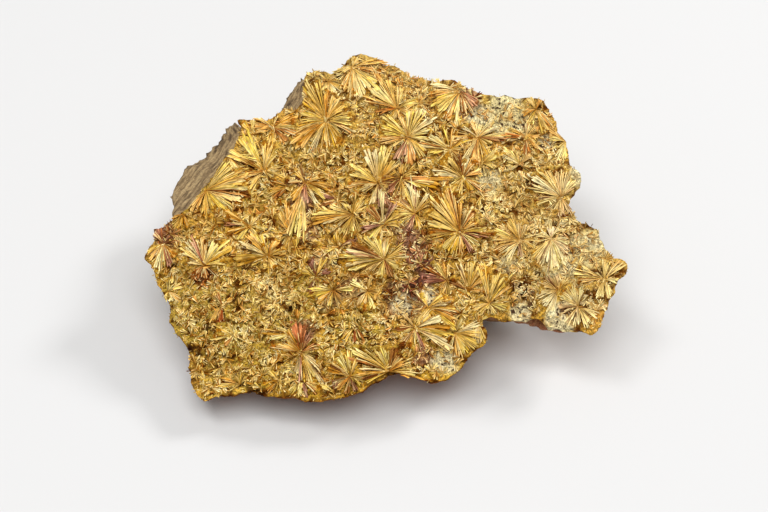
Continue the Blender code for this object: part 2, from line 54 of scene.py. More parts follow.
def linear(red: int, green: int, blue: int) -> tuple[float, float, float]:
    """Makes a colour as the eye names it, each part from 0 to 255, linear for the shaders."""
    return tuple(((part / 255.0 + 0.055) / 1.055) ** 2.4 for part in (red, green, blue))


class Tone(Enum):
    """The tones that crystals, felt and matrix take."""

    CREAM = linear(255, 243, 190)
    IVORY = linear(254, 236, 168)
    BUTTER = linear(252, 226, 128)
    STRAW = linear(246, 217, 92)
    GOLD = linear(236, 190, 48)
    AMBER = linear(216, 156, 38)
    BROWN = linear(144, 84, 32)
    RUST = linear(150, 68, 34)
    OLIVE = linear(208, 190, 92)
    MAUVE = linear(135, 83, 79)
    GREY = linear(230, 208, 150)
    CHALK = linear(248, 231, 182)
    SOOT = linear(74, 54, 40)
    UMBER = linear(84, 44, 28)

    @property
    def rgb(self) -> np.ndarray:
        """The tone as an array."""
        return np.array(self.value)


def mixed(first: np.ndarray, second: np.ndarray, share: np.ndarray | float) -> np.ndarray:
    """A share of the way from one colour, or from each of some, to another."""
    return first + (second - first) * share


@dataclass(frozen=True)
class Fan:
    """A sector of crystals of one linear colour, as it lies in the photograph.

    Angles are degrees, turning anticlockwise from the right, and lengths are pixels.
    """

    direction: float
    half_width: float
    reach: float
    colour: tuple[float, float, float]


@dataclass(frozen=True)
class Rosette:
    """The fans that grow from one centre, which is a pixel of the photograph."""

    likeness: ClassVar[float] = 0.15

    x: float
    y: float
    fans: tuple[Fan, ...]

    @classmethod
    def read(cls, words: str) -> Rosette:
        """Reads one rosette from words such as "206,190: 45/12/33 straw".

        Args:
            words: The centre, then direction/half width/reach and a tone for each fan.

        Returns:
            The rosette.
        """
        centre, rest = words.split(":")
        parts = [item.split() for item in rest.split(",")]
        colours = np.array([Tone[tone.upper()].value for _, tone in parts])
        colours = mixed(colours, colours.mean(axis=0), cls.likeness)
        fans = [Fan(*(float(part) for part in numbers.split("/")), tuple(colour))
                for (numbers, _), colour in zip(parts, colours)]
        x, y = (float(part) for part in centre.split(","))
        return cls(x, y, tuple(fans))


@dataclass(frozen=True)
class Patch:
    """A round stretch of felt or matrix of one tone: its middle and radius in pixels of the photograph."""

    x: float
    y: float
    radius: float
    tone: Tone
    strength: float = 0.85

    @classmethod
    def read(cls, words: str) -> Patch:
        """Reads one patch from words such as "268/298/22/0.45 grey".

        Args:
            words: The middle, the radius and the strength, which may be left out, and a tone.

        Returns:
            The patch.
        """
        numbers, tone = words.split()
        x, y, radius, *strength = (float(part) for part in numbers.split("/"))
        return cls(x, y, radius, Tone[tone.upper()], *strength)


ROSETTES = """
206,190: 45/12/33 straw, 20/12/45 gold, 3/5/38 straw, 352/5/44 brown, 340/6/38 amber, 320/10/30 straw,
    295/12/22 straw, 270/10/28 gold, 238/12/24 amber
264,171: 155/8/40 gold, 120/10/40 straw, 192/13/30 amber, 228/10/22 gold, 80/14/30 gold
273,127: 175/9/24 amber, 152/9/28 gold, 22/15/24 amber, 2/5/22 straw, 340/9/25 brown, 310/12/20 brown,
    260/16/18 gold
326,120: 166/11/22 straw, 141/10/28 gold, 113/13/41 straw, 88/6/30 amber, 182/5/22 straw, 195/7/28 gold,
    216/12/38 amber, 245/5/34 cream, 270/11/28 gold, 301/12/30 gold, 335/6/28 brown, 350/7/26 straw,
    8/8/28 straw, 38/13/24 gold, 65/10/26 gold
352,67: 250/11/24 amber, 275/13/30 gold, 301/12/32 straw, 325/11/34 straw, 346/8/30 amber, 10/9/26 gold,
    70/22/10 gold, 200/16/10 gold
397,108: 166/7/32 amber, 143/11/32 straw, 116/12/30 gold, 76/12/20 gold, 18/10/20 straw, 344/8/18 amber,
    195/8/20 brown
408,137: 36/6/31 cream, 60/11/30 straw, 86/9/28 straw, 110/7/26 amber, 141/12/30 straw, 166/9/30 straw,
    190/8/28 amber, 16/8/24 olive, 350/8/22 olive, 248/14/26 mauve, 280/14/26 brown, 311/12/24 gold
450,149: 105/6/22 straw, 76/12/20 gold, 30/10/22 gold, 171/7/28 brown, 148/10/22 olive, 196/8/20 straw,
    238/12/18 straw, 300/12/18 brown
478,137: 151/6/20 cream, 190/11/24 amber, 112/15/16 amber, 25/8/22 cream, 3/6/30 straw, 351/5/28 brown,
    264/11/28 amber, 242/6/30 cream, 292/10/20 gold
460,91: 186/6/32 amber, 204/8/30 straw, 225/9/30 straw, 245/8/32 amber, 262/6/28 straw, 287/13/22 brown,
    320/12/22 mauve, 169/6/26 gold
378,183: 106/14/36 cream, 78/10/34 straw, 52/11/28 gold, 154/13/30 straw, 184/8/30 amber, 203/9/18 cream,
    255/8/22 cream, 287/14/24 mauve, 2/8/16 brown, 26/10/18 gold
305,182: 299/6/22 cream, 324/9/24 straw, 345/9/26 amber, 20/14/18 gold, 267/15/22 mauve, 235/12/22 amber,
    180/8/20 brown, 130/14/14 gold
353,214: 178/6/36 straw, 190/4/38 amber, 198/4/32 grey, 222/5/24 cream, 244/9/22 olive, 266/8/20 olive,
    163/6/22 gold, 60/20/14 gold
383,224: 92/5/34 cream, 60/10/22 mauve, 30/10/20 straw, 130/14/20 brown, 196/10/22 mauve, 237/9/22 straw,
    264/6/20 cream, 0/13/16 gold
384,259: 171/5/34 mauve, 158/6/34 brown, 132/8/26 straw, 109/9/24 straw, 90/5/20 cream, 75/6/18 straw,
    178/3/42 olive, 185/3/46 straw, 191/3/42 cream, 200/4/32 olive, 222/9/20 grey, 256/10/20 olive,
    292/12/18 brown, 330/13/18 olive
250,226: 155/9/26 amber, 177/5/24 mauve, 201/10/24 amber, 301/7/24 straw, 60/18/12 gold, 231/9/18 straw
268,256: 187/4/40 straw, 197/4/30 gold, 134/9/28 amber, 157/7/30 cream, 110/8/20 gold, 62/15/18 amber,
    20/12/16 gold, 300/15/14 gold
204,265: 127/5/30 cream, 113/5/28 mauve, 90/11/24 amber, 63/7/26 straw, 47/6/32 straw, 31/6/30 gold,
    145/10/26 gold, 167/11/18 grey, 8/8/22 straw, 225/15/14 brown, 275/18/12 brown
163,243: 263/11/26 olive, 235/10/20 amber, 212/8/19 gold, 287/10/22 mauve, 312/12/18 amber, 120/24/14 mauve
460,232: 148/7/38 straw, 166/7/34 olive, 132/7/42 gold, 118/7/43 gold, 104/7/44 amber, 90/6/26 amber,
    76/6/24 grey, 56/6/26 brown, 31/9/20 amber, 180/4/32 amber, 190/4/32 gold, 356/3/34 brown,
    346/4/28 mauve, 5/5/28 straw, 225/8/24 straw, 250/9/22 gold, 275/10/22 amber, 300/9/24 mauve,
    326/8/22 olive
415,213: 113/5/28 straw, 101/4/32 cream, 90/4/28 mauve, 80/4/26 cream, 55/6/22 cream, 34/9/18 gold,
    135/8/22 brown, 155/6/24 amber, 172/7/20 gold, 190/8/20 straw, 216/9/18 straw, 250/13/16 mauve,
    290/12/16 gold
401,178: 307/6/26 cream, 285/6/22 gold, 335/6/26 straw, 352/6/30 brown, 185/10/18 brown, 225/12/18 mauve,
    90/14/14 gold
463,177: 176/5/28 cream, 151/7/28 straw, 129/7/27 straw, 97/8/22 brown, 78/6/26 cream, 55/10/22 amber,
    18/10/18 amber, 325/7/22 brown, 300/9/16 gold, 257/10/18 olive, 230/9/20 straw
561,197: 145/6/36 cream, 131/6/34 straw, 118/6/30 gold, 103/6/28 amber, 88/5/28 amber, 72/6/26 grey,
    55/8/22 straw, 38/6/14 amber, 157/4/32 brown, 168/5/36 olive, 187/4/28 brown, 197/5/28 straw,
    250/9/18 cream, 272/11/20 mauve, 300/8/20 brown
520,240: 131/6/24 gold, 115/5/24 straw, 95/9/18 grey, 70/8/18 grey, 164/8/26 straw, 185/7/26 gold,
    205/7/28 amber, 221/5/24 gold, 241/8/28 cream, 330/8/14 gold, 272/10/16 mauve
551,238: 272/13/34 cream, 245/11/34 grey, 223/7/26 straw, 290/4/28 olive, 300/4/30 cream, 313/4/24 brown,
    326/5/22 mauve, 345/6/18 straw, 90/24/10 mauve, 150/12/14 straw
604,279: 156/6/30 gold, 173/6/30 straw, 185/5/26 amber, 82/14/18 straw, 40/13/24 gold, 350/12/14 straw,
    290/13/18 straw, 255/12/20 olive
558,290: 131/8/18 mauve, 160/13/18 grey, 195/11/20 grey, 225/11/20 cream, 252/10/28 cream, 92/9/14 brown,
    45/14/14 straw, 330/10/16 cream
578,306: 151/8/22 straw, 131/8/22 gold, 110/8/20 straw, 181/7/18 brown, 75/8/18 olive, 240/10/22 grey,
    300/12/24 olive, 332/8/22 gold, 268/10/20 cream
489,303: 38/5/28 amber, 54/8/32 straw, 75/8/30 straw, 98/9/34 gold, 340/14/20 olive, 200/14/18 gold
468,290: 80/9/26 straw, 60/9/26 gold, 35/9/22 amber, 111/8/26 grey, 150/12/20 brown, 355/7/16 amber
447,280: 168/6/24 mauve, 150/6/24 brown, 129/7/24 straw, 105/7/18 amber, 186/8/22 mauve
428,307: 345/5/32 brown, 332/5/32 amber, 320/5/32 straw, 356/4/26 gold, 8/7/22 cream, 32/12/20 gold,
    120/14/16 gold, 240/12/18 gold
415,328: 20/8/26 cream, 43/11/22 gold, 355/4/32 amber, 345/5/36 straw, 330/8/38 grey, 252/7/22 amber,
    232/8/24 brown, 290/8/24 mauve, 182/10/20 brown
455,333: 279/9/24 amber, 303/10/24 straw, 330/10/26 straw, 357/11/24 gold, 20/9/24 cream
389,371: 160/4/38 brown, 151/5/42 olive, 138/5/34 olive, 121/7/26 olive, 100/9/24 olive, 78/9/24 brown,
    58/8/20 brown, 177/3/32 cream, 188/4/34 amber, 198/3/32 brown, 207/4/28 straw, 30/12/18 amber,
    350/7/30 olive, 343/4/42 amber
350,376: 167/9/22 amber, 148/6/20 brown, 120/10/24 olive, 95/9/26 straw, 66/8/20 gold, 205/7/20 cream,
    226/9/18 amber, 260/10/18 brown, 292/9/18 mauve, 320/7/15 straw
301,352: 105/9/28 rust, 84/8/28 rust, 126/9/24 amber, 150/9/18 gold, 60/12/20 mauve, 20/14/18 brown,
    258/6/26 cream, 270/4/28 mauve, 282/5/30 gold, 295/5/34 straw, 305/3/38 cream, 315/4/30 cream,
    324/4/24 grey, 168/5/32 amber
301,379: 316/6/22 brown, 335/7/22 gold, 290/8/18 mauve, 265/9/16 olive, 235/10/16 straw
316,276: 110/14/18 mauve, 62/12/18 gold, 250/12/18 mauve, 160/12/16 straw, 20/14/14 mauve
333,290: 180/5/24 straw, 198/8/24 straw, 220/9/20 amber, 256/10/16 straw, 0/9/20 olive
367,291: 262/8/20 amber, 236/10/18 grey, 290/10/18 straw, 150/10/18 olive
222,305: 264/15/17 rust, 238/9/19 gold, 120/16/12 brown, 30/14/12 amber
234,336: 180/4/22 amber, 192/4/22 straw, 225/9/14 brown, 160/7/20 gold, 120/8/14 straw
240,384: 165/8/20 amber, 186/6/20 gold, 90/14/10 straw
278,380: 230/11/15 amber, 195/9/16 gold, 140/12/12 straw
536,109: 292/8/24 straw, 312/8/22 amber, 120/14/14 gold, 60/14/12 amber, 200/12/14 amber, 250/12/16 straw
566,141: 146/6/20 amber, 174/8/16 straw, 245/9/20 olive, 264/7/20 straw
526,137: 176/6/24 brown, 155/7/20 gold, 315/9/20 amber, 270/14/18 brown, 0/8/14 amber
482,163: 40/8/18 straw, 20/8/18 olive, 60/8/16 gold
520,164: 135/8/20 straw, 155/8/18 cream, 40/12/14 amber
183,214: 235/9/17 straw, 260/9/16 gold, 290/9/14 amber, 203/9/12 amber
290,233: 96/7/30 amber, 75/8/26 gold, 116/9/22 gold
288,186: 201/10/20 gold, 226/9/18 brown, 160/10/16 amber
338,200: 165/9/18 mauve, 320/9/14 straw, 200/8/18 brown
228,155: 340/10/30 brown, 350/8/26 straw, 300/14/16 gold
252,134: 80/14/14 straw, 130/14/16 gold, 20/10/16 amber, 250/12/12 brown
328,81: 330/12/16 gold, 300/12/16 gold, 250/14/14 straw
368,62: 300/8/24 amber, 355/10/18 amber
418,103: 300/14/16 grey, 200/12/14 straw
312,222: 195/14/16 olive, 230/12/18 brown, 150/12/14 mauve
338,247: 200/12/14 straw, 100/14/14 gold, 20/10/20 mauve
303,187: 262/8/52 olive, 250/5/44 amber, 272/4/40 gold
401,180: 358/5/46 amber, 350/4/38 gold
478,322: 262/14/20 cream, 285/10/20 straw
168,291: 320/12/14 amber, 250/14/12 straw, 20/14/14 straw
335,393: 90/16/12 mauve, 150/12/14 straw
292,334: 178/7/28 amber, 195/8/20 straw
355,326: 268/6/16 rust, 235/10/18 gold, 300/8/18 brown
"""

PATCHES = tuple(Patch.read(words) for words in """
240/330/62 olive, 185/310/34 olive, 300/300/30 olive, 268/298/22/0.45 grey, 360/330/26 olive,
204/276/12 rust, 166/234/15 mauve, 304/203/14 mauve, 388/202/13 mauve, 415/246/18/0.9 mauve,
402/300/24/0.75 mauve, 424/266/16/0.9 mauve, 418/288/17/0.9 mauve, 330/300/13/0.6 mauve,
320/262/10/0.7 mauve, 352/290/14/0.6 mauve, 310/232/11/0.8 mauve, 304/330/12/0.7 mauve,
398/222/13/0.7 mauve, 302/178/9/0.8 mauve, 425/357/11 mauve, 467/102/17 mauve, 440/200/14 gold,
506/116/26/0.6 chalk, 480/118/12 chalk, 490/182/14 chalk, 588/250/19 chalk, 444/360/15 chalk,
520/312/13 chalk, 577/177/9 chalk, 404/304/12 chalk, 545/144/9 chalk, 508/262/11 chalk, 560/318/16 chalk,
560/262/22 chalk, 524/292/11 brown, 576/309/10 brown, 615/266/17 gold, 430/295/9 chalk, 382/215/10 cream,
535/225/62/0.4 ivory, 605/275/30/0.4 ivory, 215/385/34/0.5 butter, 350/75/50/0.4 butter
""".split(","))

# Dark umber spots at the pits: partly their own dark colour, partly painted shade in the hollows.
PITS = tuple(Patch(*(float(part) for part in words.split("/")), Tone.UMBER, 0.9) for words in """
192/348/6 215/341/5 199/355/4 204/331/4 293/308/5 362/335/5 250/391/4 260/395/4 207/273/6 318/273/5
389/295/6 387/335/5 302/384/5 391/373/6 265/174/4 374/184/5 520/290/8 588/294/5 585/305/5 530/306/5
585/225/4 566/219/5 542/146/4 570/163/4 473/101/6 528/184/5 472/173/5 460/203/6 460/237/5 401/177/5
563/309/4 427/276/5 410/290/6 338/262/5 246/268/4 300/340/4 173/262/4 232/300/5
""".split())


class SightLine:
    """The line of sight of the photograph, and the leaning plane of the crystal face that it meets."""

    elevation = math.radians(48.0)
    distance = 430.0 * MM
    focal_px = 2240.0
    frame_px = (768.0, 512.0)
    sensor_mm = 36.0
    face_middle = np.array((-0.154, -6.544, 16.6)) * MM
    lean = math.radians(18.0)
    roll = math.radians(2.0)

    def __init__(self) -> None:
        """Works out the axes of the face and of the view."""
        outward = np.array((-math.sin(self.roll), -math.sin(self.lean), math.cos(self.lean)))
        self.outward = outward / np.linalg.norm(outward)
        across = np.array((1.0, 0.0, 0.0)) - self.outward * self.outward[0]
        self.across = across / np.linalg.norm(across)
        self.upslope = np.cross(self.outward, self.across)
        self.forward = np.array((0.0, math.cos(self.elevation), -math.sin(self.elevation)))
        self.up = np.array((0.0, math.sin(self.elevation), math.cos(self.elevation)))
        self.eye = self.face_middle - self.forward * self.distance
        self.metres_per_px = self.distance / self.focal_px

    def spots(self, pixels: np.ndarray, lift: np.ndarray) -> np.ndarray:
        """Where lines of sight meet the face, raised by a lift.

        Args:
            pixels: Pixels of the photograph, one row each.
            lift: The face's height at each of them, in metres.

        Returns:
            Metres across and up the face, one row each.
        """
        right = pixels[:, 0] - 0.5 * self.frame_px[0]
        rise = 0.5 * self.frame_px[1] - pixels[:, 1]
        rays = self.forward * self.focal_px + np.outer(right, (1.0, 0.0, 0.0)) + np.outer(rise, self.up)
        start = self.eye - self.face_middle
        reach = (lift - start @ self.outward) / (rays @ self.outward)
        hits = start + rays * reach[:, None]
        return np.stack((hits @ self.across, hits @ self.upslope), axis=1)

    def pixels(self, points: np.ndarray) -> np.ndarray:
        """The pixels of the photograph where points of space show.

        Args:
            points: Points in metres, one row each.

        Returns:
            Pixels, one row each.
        """
        away = points - self.eye
        depth = away @ self.forward
        right = away[:, 0] / depth * self.focal_px + 0.5 * self.frame_px[0]
        down = 0.5 * self.frame_px[1] - (away @ self.up) / depth * self.focal_px
        return np.stack((right, down), axis=1)

    def camera(self) -> bpy.types.Object:
        """Makes the camera that sees what the photograph shows.

        Returns:
            The camera.
        """
        data = bpy.data.cameras.new("photo_camera")
        data.sensor_width = self.sensor_mm
        data.lens = self.focal_px / self.frame_px[0] * self.sensor_mm
        camera = bpy.data.objects.new("photo_camera", data)
        camera.location = self.eye
        camera.rotation_euler = (0.5 * math.pi - self.elevation, 0.0, 0.0)
        bpy.context.scene.collection.objects.link(camera)
        bpy.context.scene.camera = camera
        return camera


SIGHT = SightLine()


def smooth(grid: np.ndarray, steps: float) -> np.ndarray:
    """Blurs a grid of values.

    Args:
        grid: The values.
        steps: The blur's radius in grid steps.

    Returns:
        The blurred values.
    """
    reach = int(math.ceil(3.0 * steps))
    weights = np.exp(-0.5 * (np.arange(-reach, reach + 1) / steps) ** 2)
    weights /= weights.sum()
    for axis in (0, 1):
        padded = np.pad(grid, [(reach, reach) if a == axis else (0, 0) for a in (0, 1)], mode="edge")
        grid = np.apply_along_axis(lambda row: np.convolve(row, weights, mode="valid"), axis, padded)
    return grid


class CrystalFace:
    """The height of the crust over the plane of the face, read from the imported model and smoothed."""

    step = 0.5 * MM
    half_size = (50.0 * MM, 44.0 * MM)
    blur = 1.3 * MM
    ray_start = 20.0 * MM
    least_weight = 0.02
    rounds = 6

    def __init__(self, crust: bpy.types.Object) -> None:
        """Casts a ray down on each grid point of the face.

        Args:
            crust: The CAD node of the crust.
        """
        tree = BVHTree.FromPolygons(
            [vertex.co for vertex in crust.data.vertices], [face.vertices for face in crust.data.polygons])
        columns = int(2 * self.half_size[0] / self.step) + 1
        rows = int(2 * self.half_size[1] / self.step) + 1
        heights = np.full((rows, columns), np.nan)
        down = Vector(-SIGHT.outward)
        for row in range(rows):
            for column in range(columns):
                across, upslope = column * self.step - self.half_size[0], row * self.step - self.half_size[1]
                start = SIGHT.face_middle + across * SIGHT.across + upslope * SIGHT.upslope
                hit, _, _, distance = tree.ray_cast(Vector(start + SIGHT.outward * self.ray_start), down)
                if hit is not None:
                    heights[row, column] = self.ray_start - distance
        covered = ~np.isnan(heights)
        filled = np.where(covered, heights, 0.0)
        weight = smooth(covered.astype(float), self.blur / self.step)
        self.grid = smooth(filled, self.blur / self.step) / np.maximum(weight, 1e-3)
        self.grid = np.where(weight > self.least_weight, self.grid, 0.0)
        self.cover = weight

    def sample(self, grid: np.ndarray, spots: np.ndarray) -> np.ndarray:
        """Reads a grid between its points.

        Args:
            grid: The values.
            spots: Metres across and up the face, one row each.

        Returns:
            One value for each spot.
        """
        column = np.clip((spots[:, 0] + self.half_size[0]) / self.step, 0, grid.shape[1] - 1.001)
        row = np.clip((spots[:, 1] + self.half_size[1]) / self.step, 0, grid.shape[0] - 1.001)
        left, low = column.astype(int), row.astype(int)
        x, y = column - left, row - low
        lower = grid[low, left] * (1 - x) + grid[low, left + 1] * x
        upper = grid[low + 1, left] * (1 - x) + grid[low + 1, left + 1] * x
        return lower * (1 - y) + upper * y

    def locate(self, pixels: np.ndarray) -> np.ndarray:
        """Finds the spots of the uneven face that show at pixels.

        Args:
            pixels: Pixels of the photograph, one row each.

        Returns:
            Metres across and up the face, one row each.
        """
        lift = np.zeros(len(pixels))
        for _ in range(self.rounds):
            spots = SIGHT.spots(pixels, lift)
            lift = self.sample(self.grid, spots)
        return spots

    def place(self, spots: np.ndarray, rise: np.ndarray) -> np.ndarray:
        """Points of space that stand a rise above the face.

        Args:
            spots: Metres across and up the face, one row each.
            rise: Metres above the uneven face.

        Returns:
            Points in metres, one row each.
        """
        lift = self.sample(self.grid, spots) + rise
        flat = np.outer(spots[:, 0], SIGHT.across) + np.outer(spots[:, 1], SIGHT.upslope)
        return SIGHT.face_middle + flat + np.outer(lift, SIGHT.outward)


NOISE_TABLE = 4096
NOISE_PRIMES = (73856093, 19349663, 83492791)


@dataclass(frozen=True)
class Swell:
    """Smooth random values in space: the size of one swell in metres, and a seed that picks the pattern."""

    length: float
    seed: int

    def at(self, points: np.ndarray) -> np.ndarray:
        """Reads the values.

        Args:
            points: Points in metres, one row each.

        Returns:
            A value between -1 and 1 for each point.
        """
        table = np.random.default_rng(self.seed).uniform(-1.0, 1.0, NOISE_TABLE)
        low = np.floor(points / self.length).astype(int)
        share = points / self.length - low
        share = share * share * (3.0 - 2.0 * share)
        total = np.zeros(len(points))
        for corner in range(8):
            offset = np.array((corner & 1, corner >> 1 & 1, corner >> 2 & 1))
            x, y, z = ((low + offset) * NOISE_PRIMES).T
            weight = np.prod(np.where(offset, share, 1.0 - share), axis=1)
            total += weight * table[(x ^ y ^ z) % NOISE_TABLE]
        return total


def new_object(name: str, points: np.ndarray, faces: list | np.ndarray) -> bpy.types.Object:
    """Makes an object of the scene.

    Args:
        name: Its name.
        points: Its points in metres, one row each.
        faces: The point numbers of each face.

    Returns:
        The object.
    """
    mesh = bpy.data.meshes.new(name)
    mesh.from_pydata(points.tolist(), [], faces if isinstance(faces, list) else faces.tolist())
    mesh.update()
    made = bpy.data.objects.new(name, mesh)
    bpy.context.scene.collection.objects.link(made)
    return made


def read_points(mesh: bpy.types.Mesh, field: str) -> np.ndarray:
    """Reads the points of a mesh.

    Args:
        mesh: The mesh.
        field: "co" for their places or "normal" for their normals.

    Returns:
        One row for each point.
    """
    rows = np.empty(len(mesh.vertices) * 3)
    mesh.vertices.foreach_get(field, rows)
    return rows.reshape(-1, 3)


def set_points(mesh: bpy.types.Mesh, points: np.ndarray) -> None:
    """Moves the points of a mesh."""
    mesh.vertices.foreach_set("co", points.ravel())
    mesh.update()


class Layer(Enum):
    """What a mesh's points can carry under a name: the kind of attribute and its field."""

    NUMBER = ("FLOAT", "value")
    VECTOR = ("FLOAT_VECTOR", "vector")
    COLOUR = ("FLOAT_COLOR", "color")

    def add(self, mesh: bpy.types.Mesh, name: str, rows: np.ndarray) -> None:
        """Gives each point of a mesh a value under a name.

        Args:
            mesh: The mesh.
            name: The name.
            rows: The values, one for each point.
        """
        kind, field = self.value
        if self is Layer.COLOUR:
            rows = np.concatenate((np.clip(rows, 0.0, 1.0), np.ones((len(rows), 1))), axis=1)
        mesh.attributes.new(name, kind, "POINT").data.foreach_set(field, rows.ravel())


WELD_DISTANCE = 1e-6


def merged_copy(node: bpy.types.Object, name: str, voxel: float) -> bpy.types.Object:
    """A copy of a CAD node as one closed, evenly fine mesh.

    Args:
        node: The CAD node, which isn't changed.
        name: The new object's name.
        voxel: The size of the mesh's faces in metres.

    Returns:
        The copy.
    """
    copy = node.copy()
    copy.data = node.data.copy()
    copy.name = name
    copy.data.name = name
    copy.parent = None
    for key in list(copy.keys()):
        del copy[key]
    bpy.context.scene.collection.objects.link(copy)
    form = bmesh.new()
    form.from_mesh(copy.data)
    bmesh.ops.remove_doubles(form, verts=form.verts[:], dist=WELD_DISTANCE)
    form.to_mesh(copy.data)
    form.free()
    remesh = copy.modifiers.new("fine", "REMESH")
    remesh.mode = "VOXEL"
    remesh.voxel_size = voxel
    remesh.use_smooth_shade = True
    graph = bpy.context.evaluated_depsgraph_get()
    fine = bpy.data.meshes.new_from_object(copy.evaluated_get(graph))
    copy.modifiers.remove(remesh)
    copy.data = fine
    copy.data.name = name
    return copy


DARK_POWERS = np.array((1.0, 1.7, 3.2))
PALE_SHARE = 1.5
PALE_POWER = 1.5
PALEST = 0.9
BRIGHTEST = 0.97
# Painted light by place, down and then across the frame: pixels and the brightness painted there.
PAINTED_LIGHT_DOWN = ((60.0, 90.0, 115.0, 200.0, 390.0), (2.0, 1.8, 1.45, 1.29, 1.1))
PAINTED_LIGHT_ACROSS = ((450.0, 560.0, 620.0), (1.0, 1.1, 1.2))


def keenness(tones: np.ndarray) -> np.ndarray:
    """How far tones turn pale in strong light: 0 for mauve, rust and brown ones, 1 for straw."""
    return np.clip((tones[..., 1:2] - 0.08) / 0.35, 0.0, 1.0)


def shaded(tones: np.ndarray, light: np.ndarray | float) -> np.ndarray:
    """Tones made darker or lighter by painted light and shade, and by shifts of tone, where darker ones turn
    browner and lighter ones paler.

    Args:
        tones: One linear colour, or a row for each.
        light: The painted light and tone shift on each of them, 1 for no change.

    Returns:
        The linear colours.
    """
    light = np.asarray(light)[..., None]
    lit = tones * np.power(light, np.where(light < 1.0, DARK_POWERS, 1.0))
    paling = np.clip(PALE_SHARE * (1.0 - 1.0 / np.maximum(light, 1.0)) ** PALE_POWER, 0.0, PALEST)
    lit = mixed(lit, Tone.CREAM.rgb, paling * keenness(tones))
    return lit / np.maximum(1.0, lit.max(axis=-1, keepdims=True) / BRIGHTEST)


def painted_light(pixels: np.ndarray) -> np.ndarray:
    """Painted light by place: crystals painted brighter and paler at the high rim and at the right, duller at
    the front.
    """
    return np.interp(pixels[..., 1], *PAINTED_LIGHT_DOWN) * np.interp(pixels[..., 0], *PAINTED_LIGHT_ACROSS)


BROAD_MIX, FINE_MIX = Swell(5.0 * MM, 11), Swell(1.1 * MM, 12)
BROAD_EDGE, FINE_EDGE = Swell(2.6 * MM, 13), Swell(0.9 * MM, 14)
BROWN_SWELL = Swell(3.6 * MM, 15)
SPECKLED = {Tone.CHALK: 1.0, Tone.MAUVE: 0.45}
LONGEST_FAN = 60.0


def ground_tones(points: np.ndarray) -> tuple[np.ndarray, np.ndarray]:
    """The tone of the felt and matrix at points of the crust, and how speckled it is there.

    Args:
        points: Points in metres, one row each.

    Returns:
        A linear colour for each point, and a share from 0 to 1 for each.
    """
    pixels = SIGHT.pixels(points)
    mix, fleck = BROAD_MIX.at(points)[:, None], FINE_MIX.at(points)[:, None]
    tones = Tone.GOLD.rgb * np.ones((len(points), 1))
    tones = mixed(tones, Tone.STRAW.rgb, np.clip(0.65 + mix + 0.5 * fleck, 0, 1) * 0.85)
    tones = mixed(tones, Tone.AMBER.rgb, np.clip(-0.2 - mix + 0.9 * fleck, 0, 1))
    tones = mixed(tones, Tone.BUTTER.rgb, 0.3)
    swell = np.clip(1.3 * BROWN_SWELL.at(points) - 0.35, 0.0, 0.32)
    swell = swell * np.interp(pixels[:, 1], (150.0, 230.0), (0.35, 1.0))
    tones = mixed(tones, Tone.BROWN.rgb, swell[:, None])
    speckle = np.zeros(len(points))
    ragged = 0.30 * BROAD_EDGE.at(points) + 0.22 * FINE_EDGE.at(points)
    for patch in PATCHES + PITS:
        away = np.hypot(pixels[:, 0] - patch.x, pixels[:, 1] - patch.y) / patch.radius
        share = np.clip((1.12 - away + ragged) / 0.35, 0.0, 1.0)
        tones = mixed(tones, patch.tone.rgb, patch.strength * share[:, None])
        if patch.tone in SPECKLED:
            speckle = np.maximum(speckle, share * SPECKLED[patch.tone])
        else:
            speckle *= 1.0 - 0.5 * share
    return tones, speckle


def fan_cover(points: np.ndarray, rosettes: list[Rosette]) -> tuple[np.ndarray, np.ndarray]:
    """How far points of the crust lie under fans.

    Args:
        points: Points in metres, one row each.
        rosettes: The rosettes.

    Returns:
        1 under a fan and 0 elsewhere, and the linear colour of the fan there.
    """
    pixels = SIGHT.pixels(points)
    cover = np.zeros(len(points))
    colours = np.zeros((len(points), 3))
    for rosette in rosettes:
        right, up = pixels[:, 0] - rosette.x, rosette.y - pixels[:, 1]
        near = np.flatnonzero(np.hypot(right, up) < LONGEST_FAN)
        if not len(near):
            continue
        away = np.hypot(right[near], up[near])
        turn = np.degrees(np.arctan2(up[near], right[near]))
        for fan in rosette.fans:
            off = np.abs((turn - fan.direction + 180.0) % 360.0 - 180.0)
            inside = (off < fan.half_width) & (away < fan.reach)
            cover[near[inside]] = 1.0
            colours[near[inside]] = fan.colour
    return cover, colours


Feed = bpy.types.NodeSocket | float | tuple
Pair = tuple[float, float]


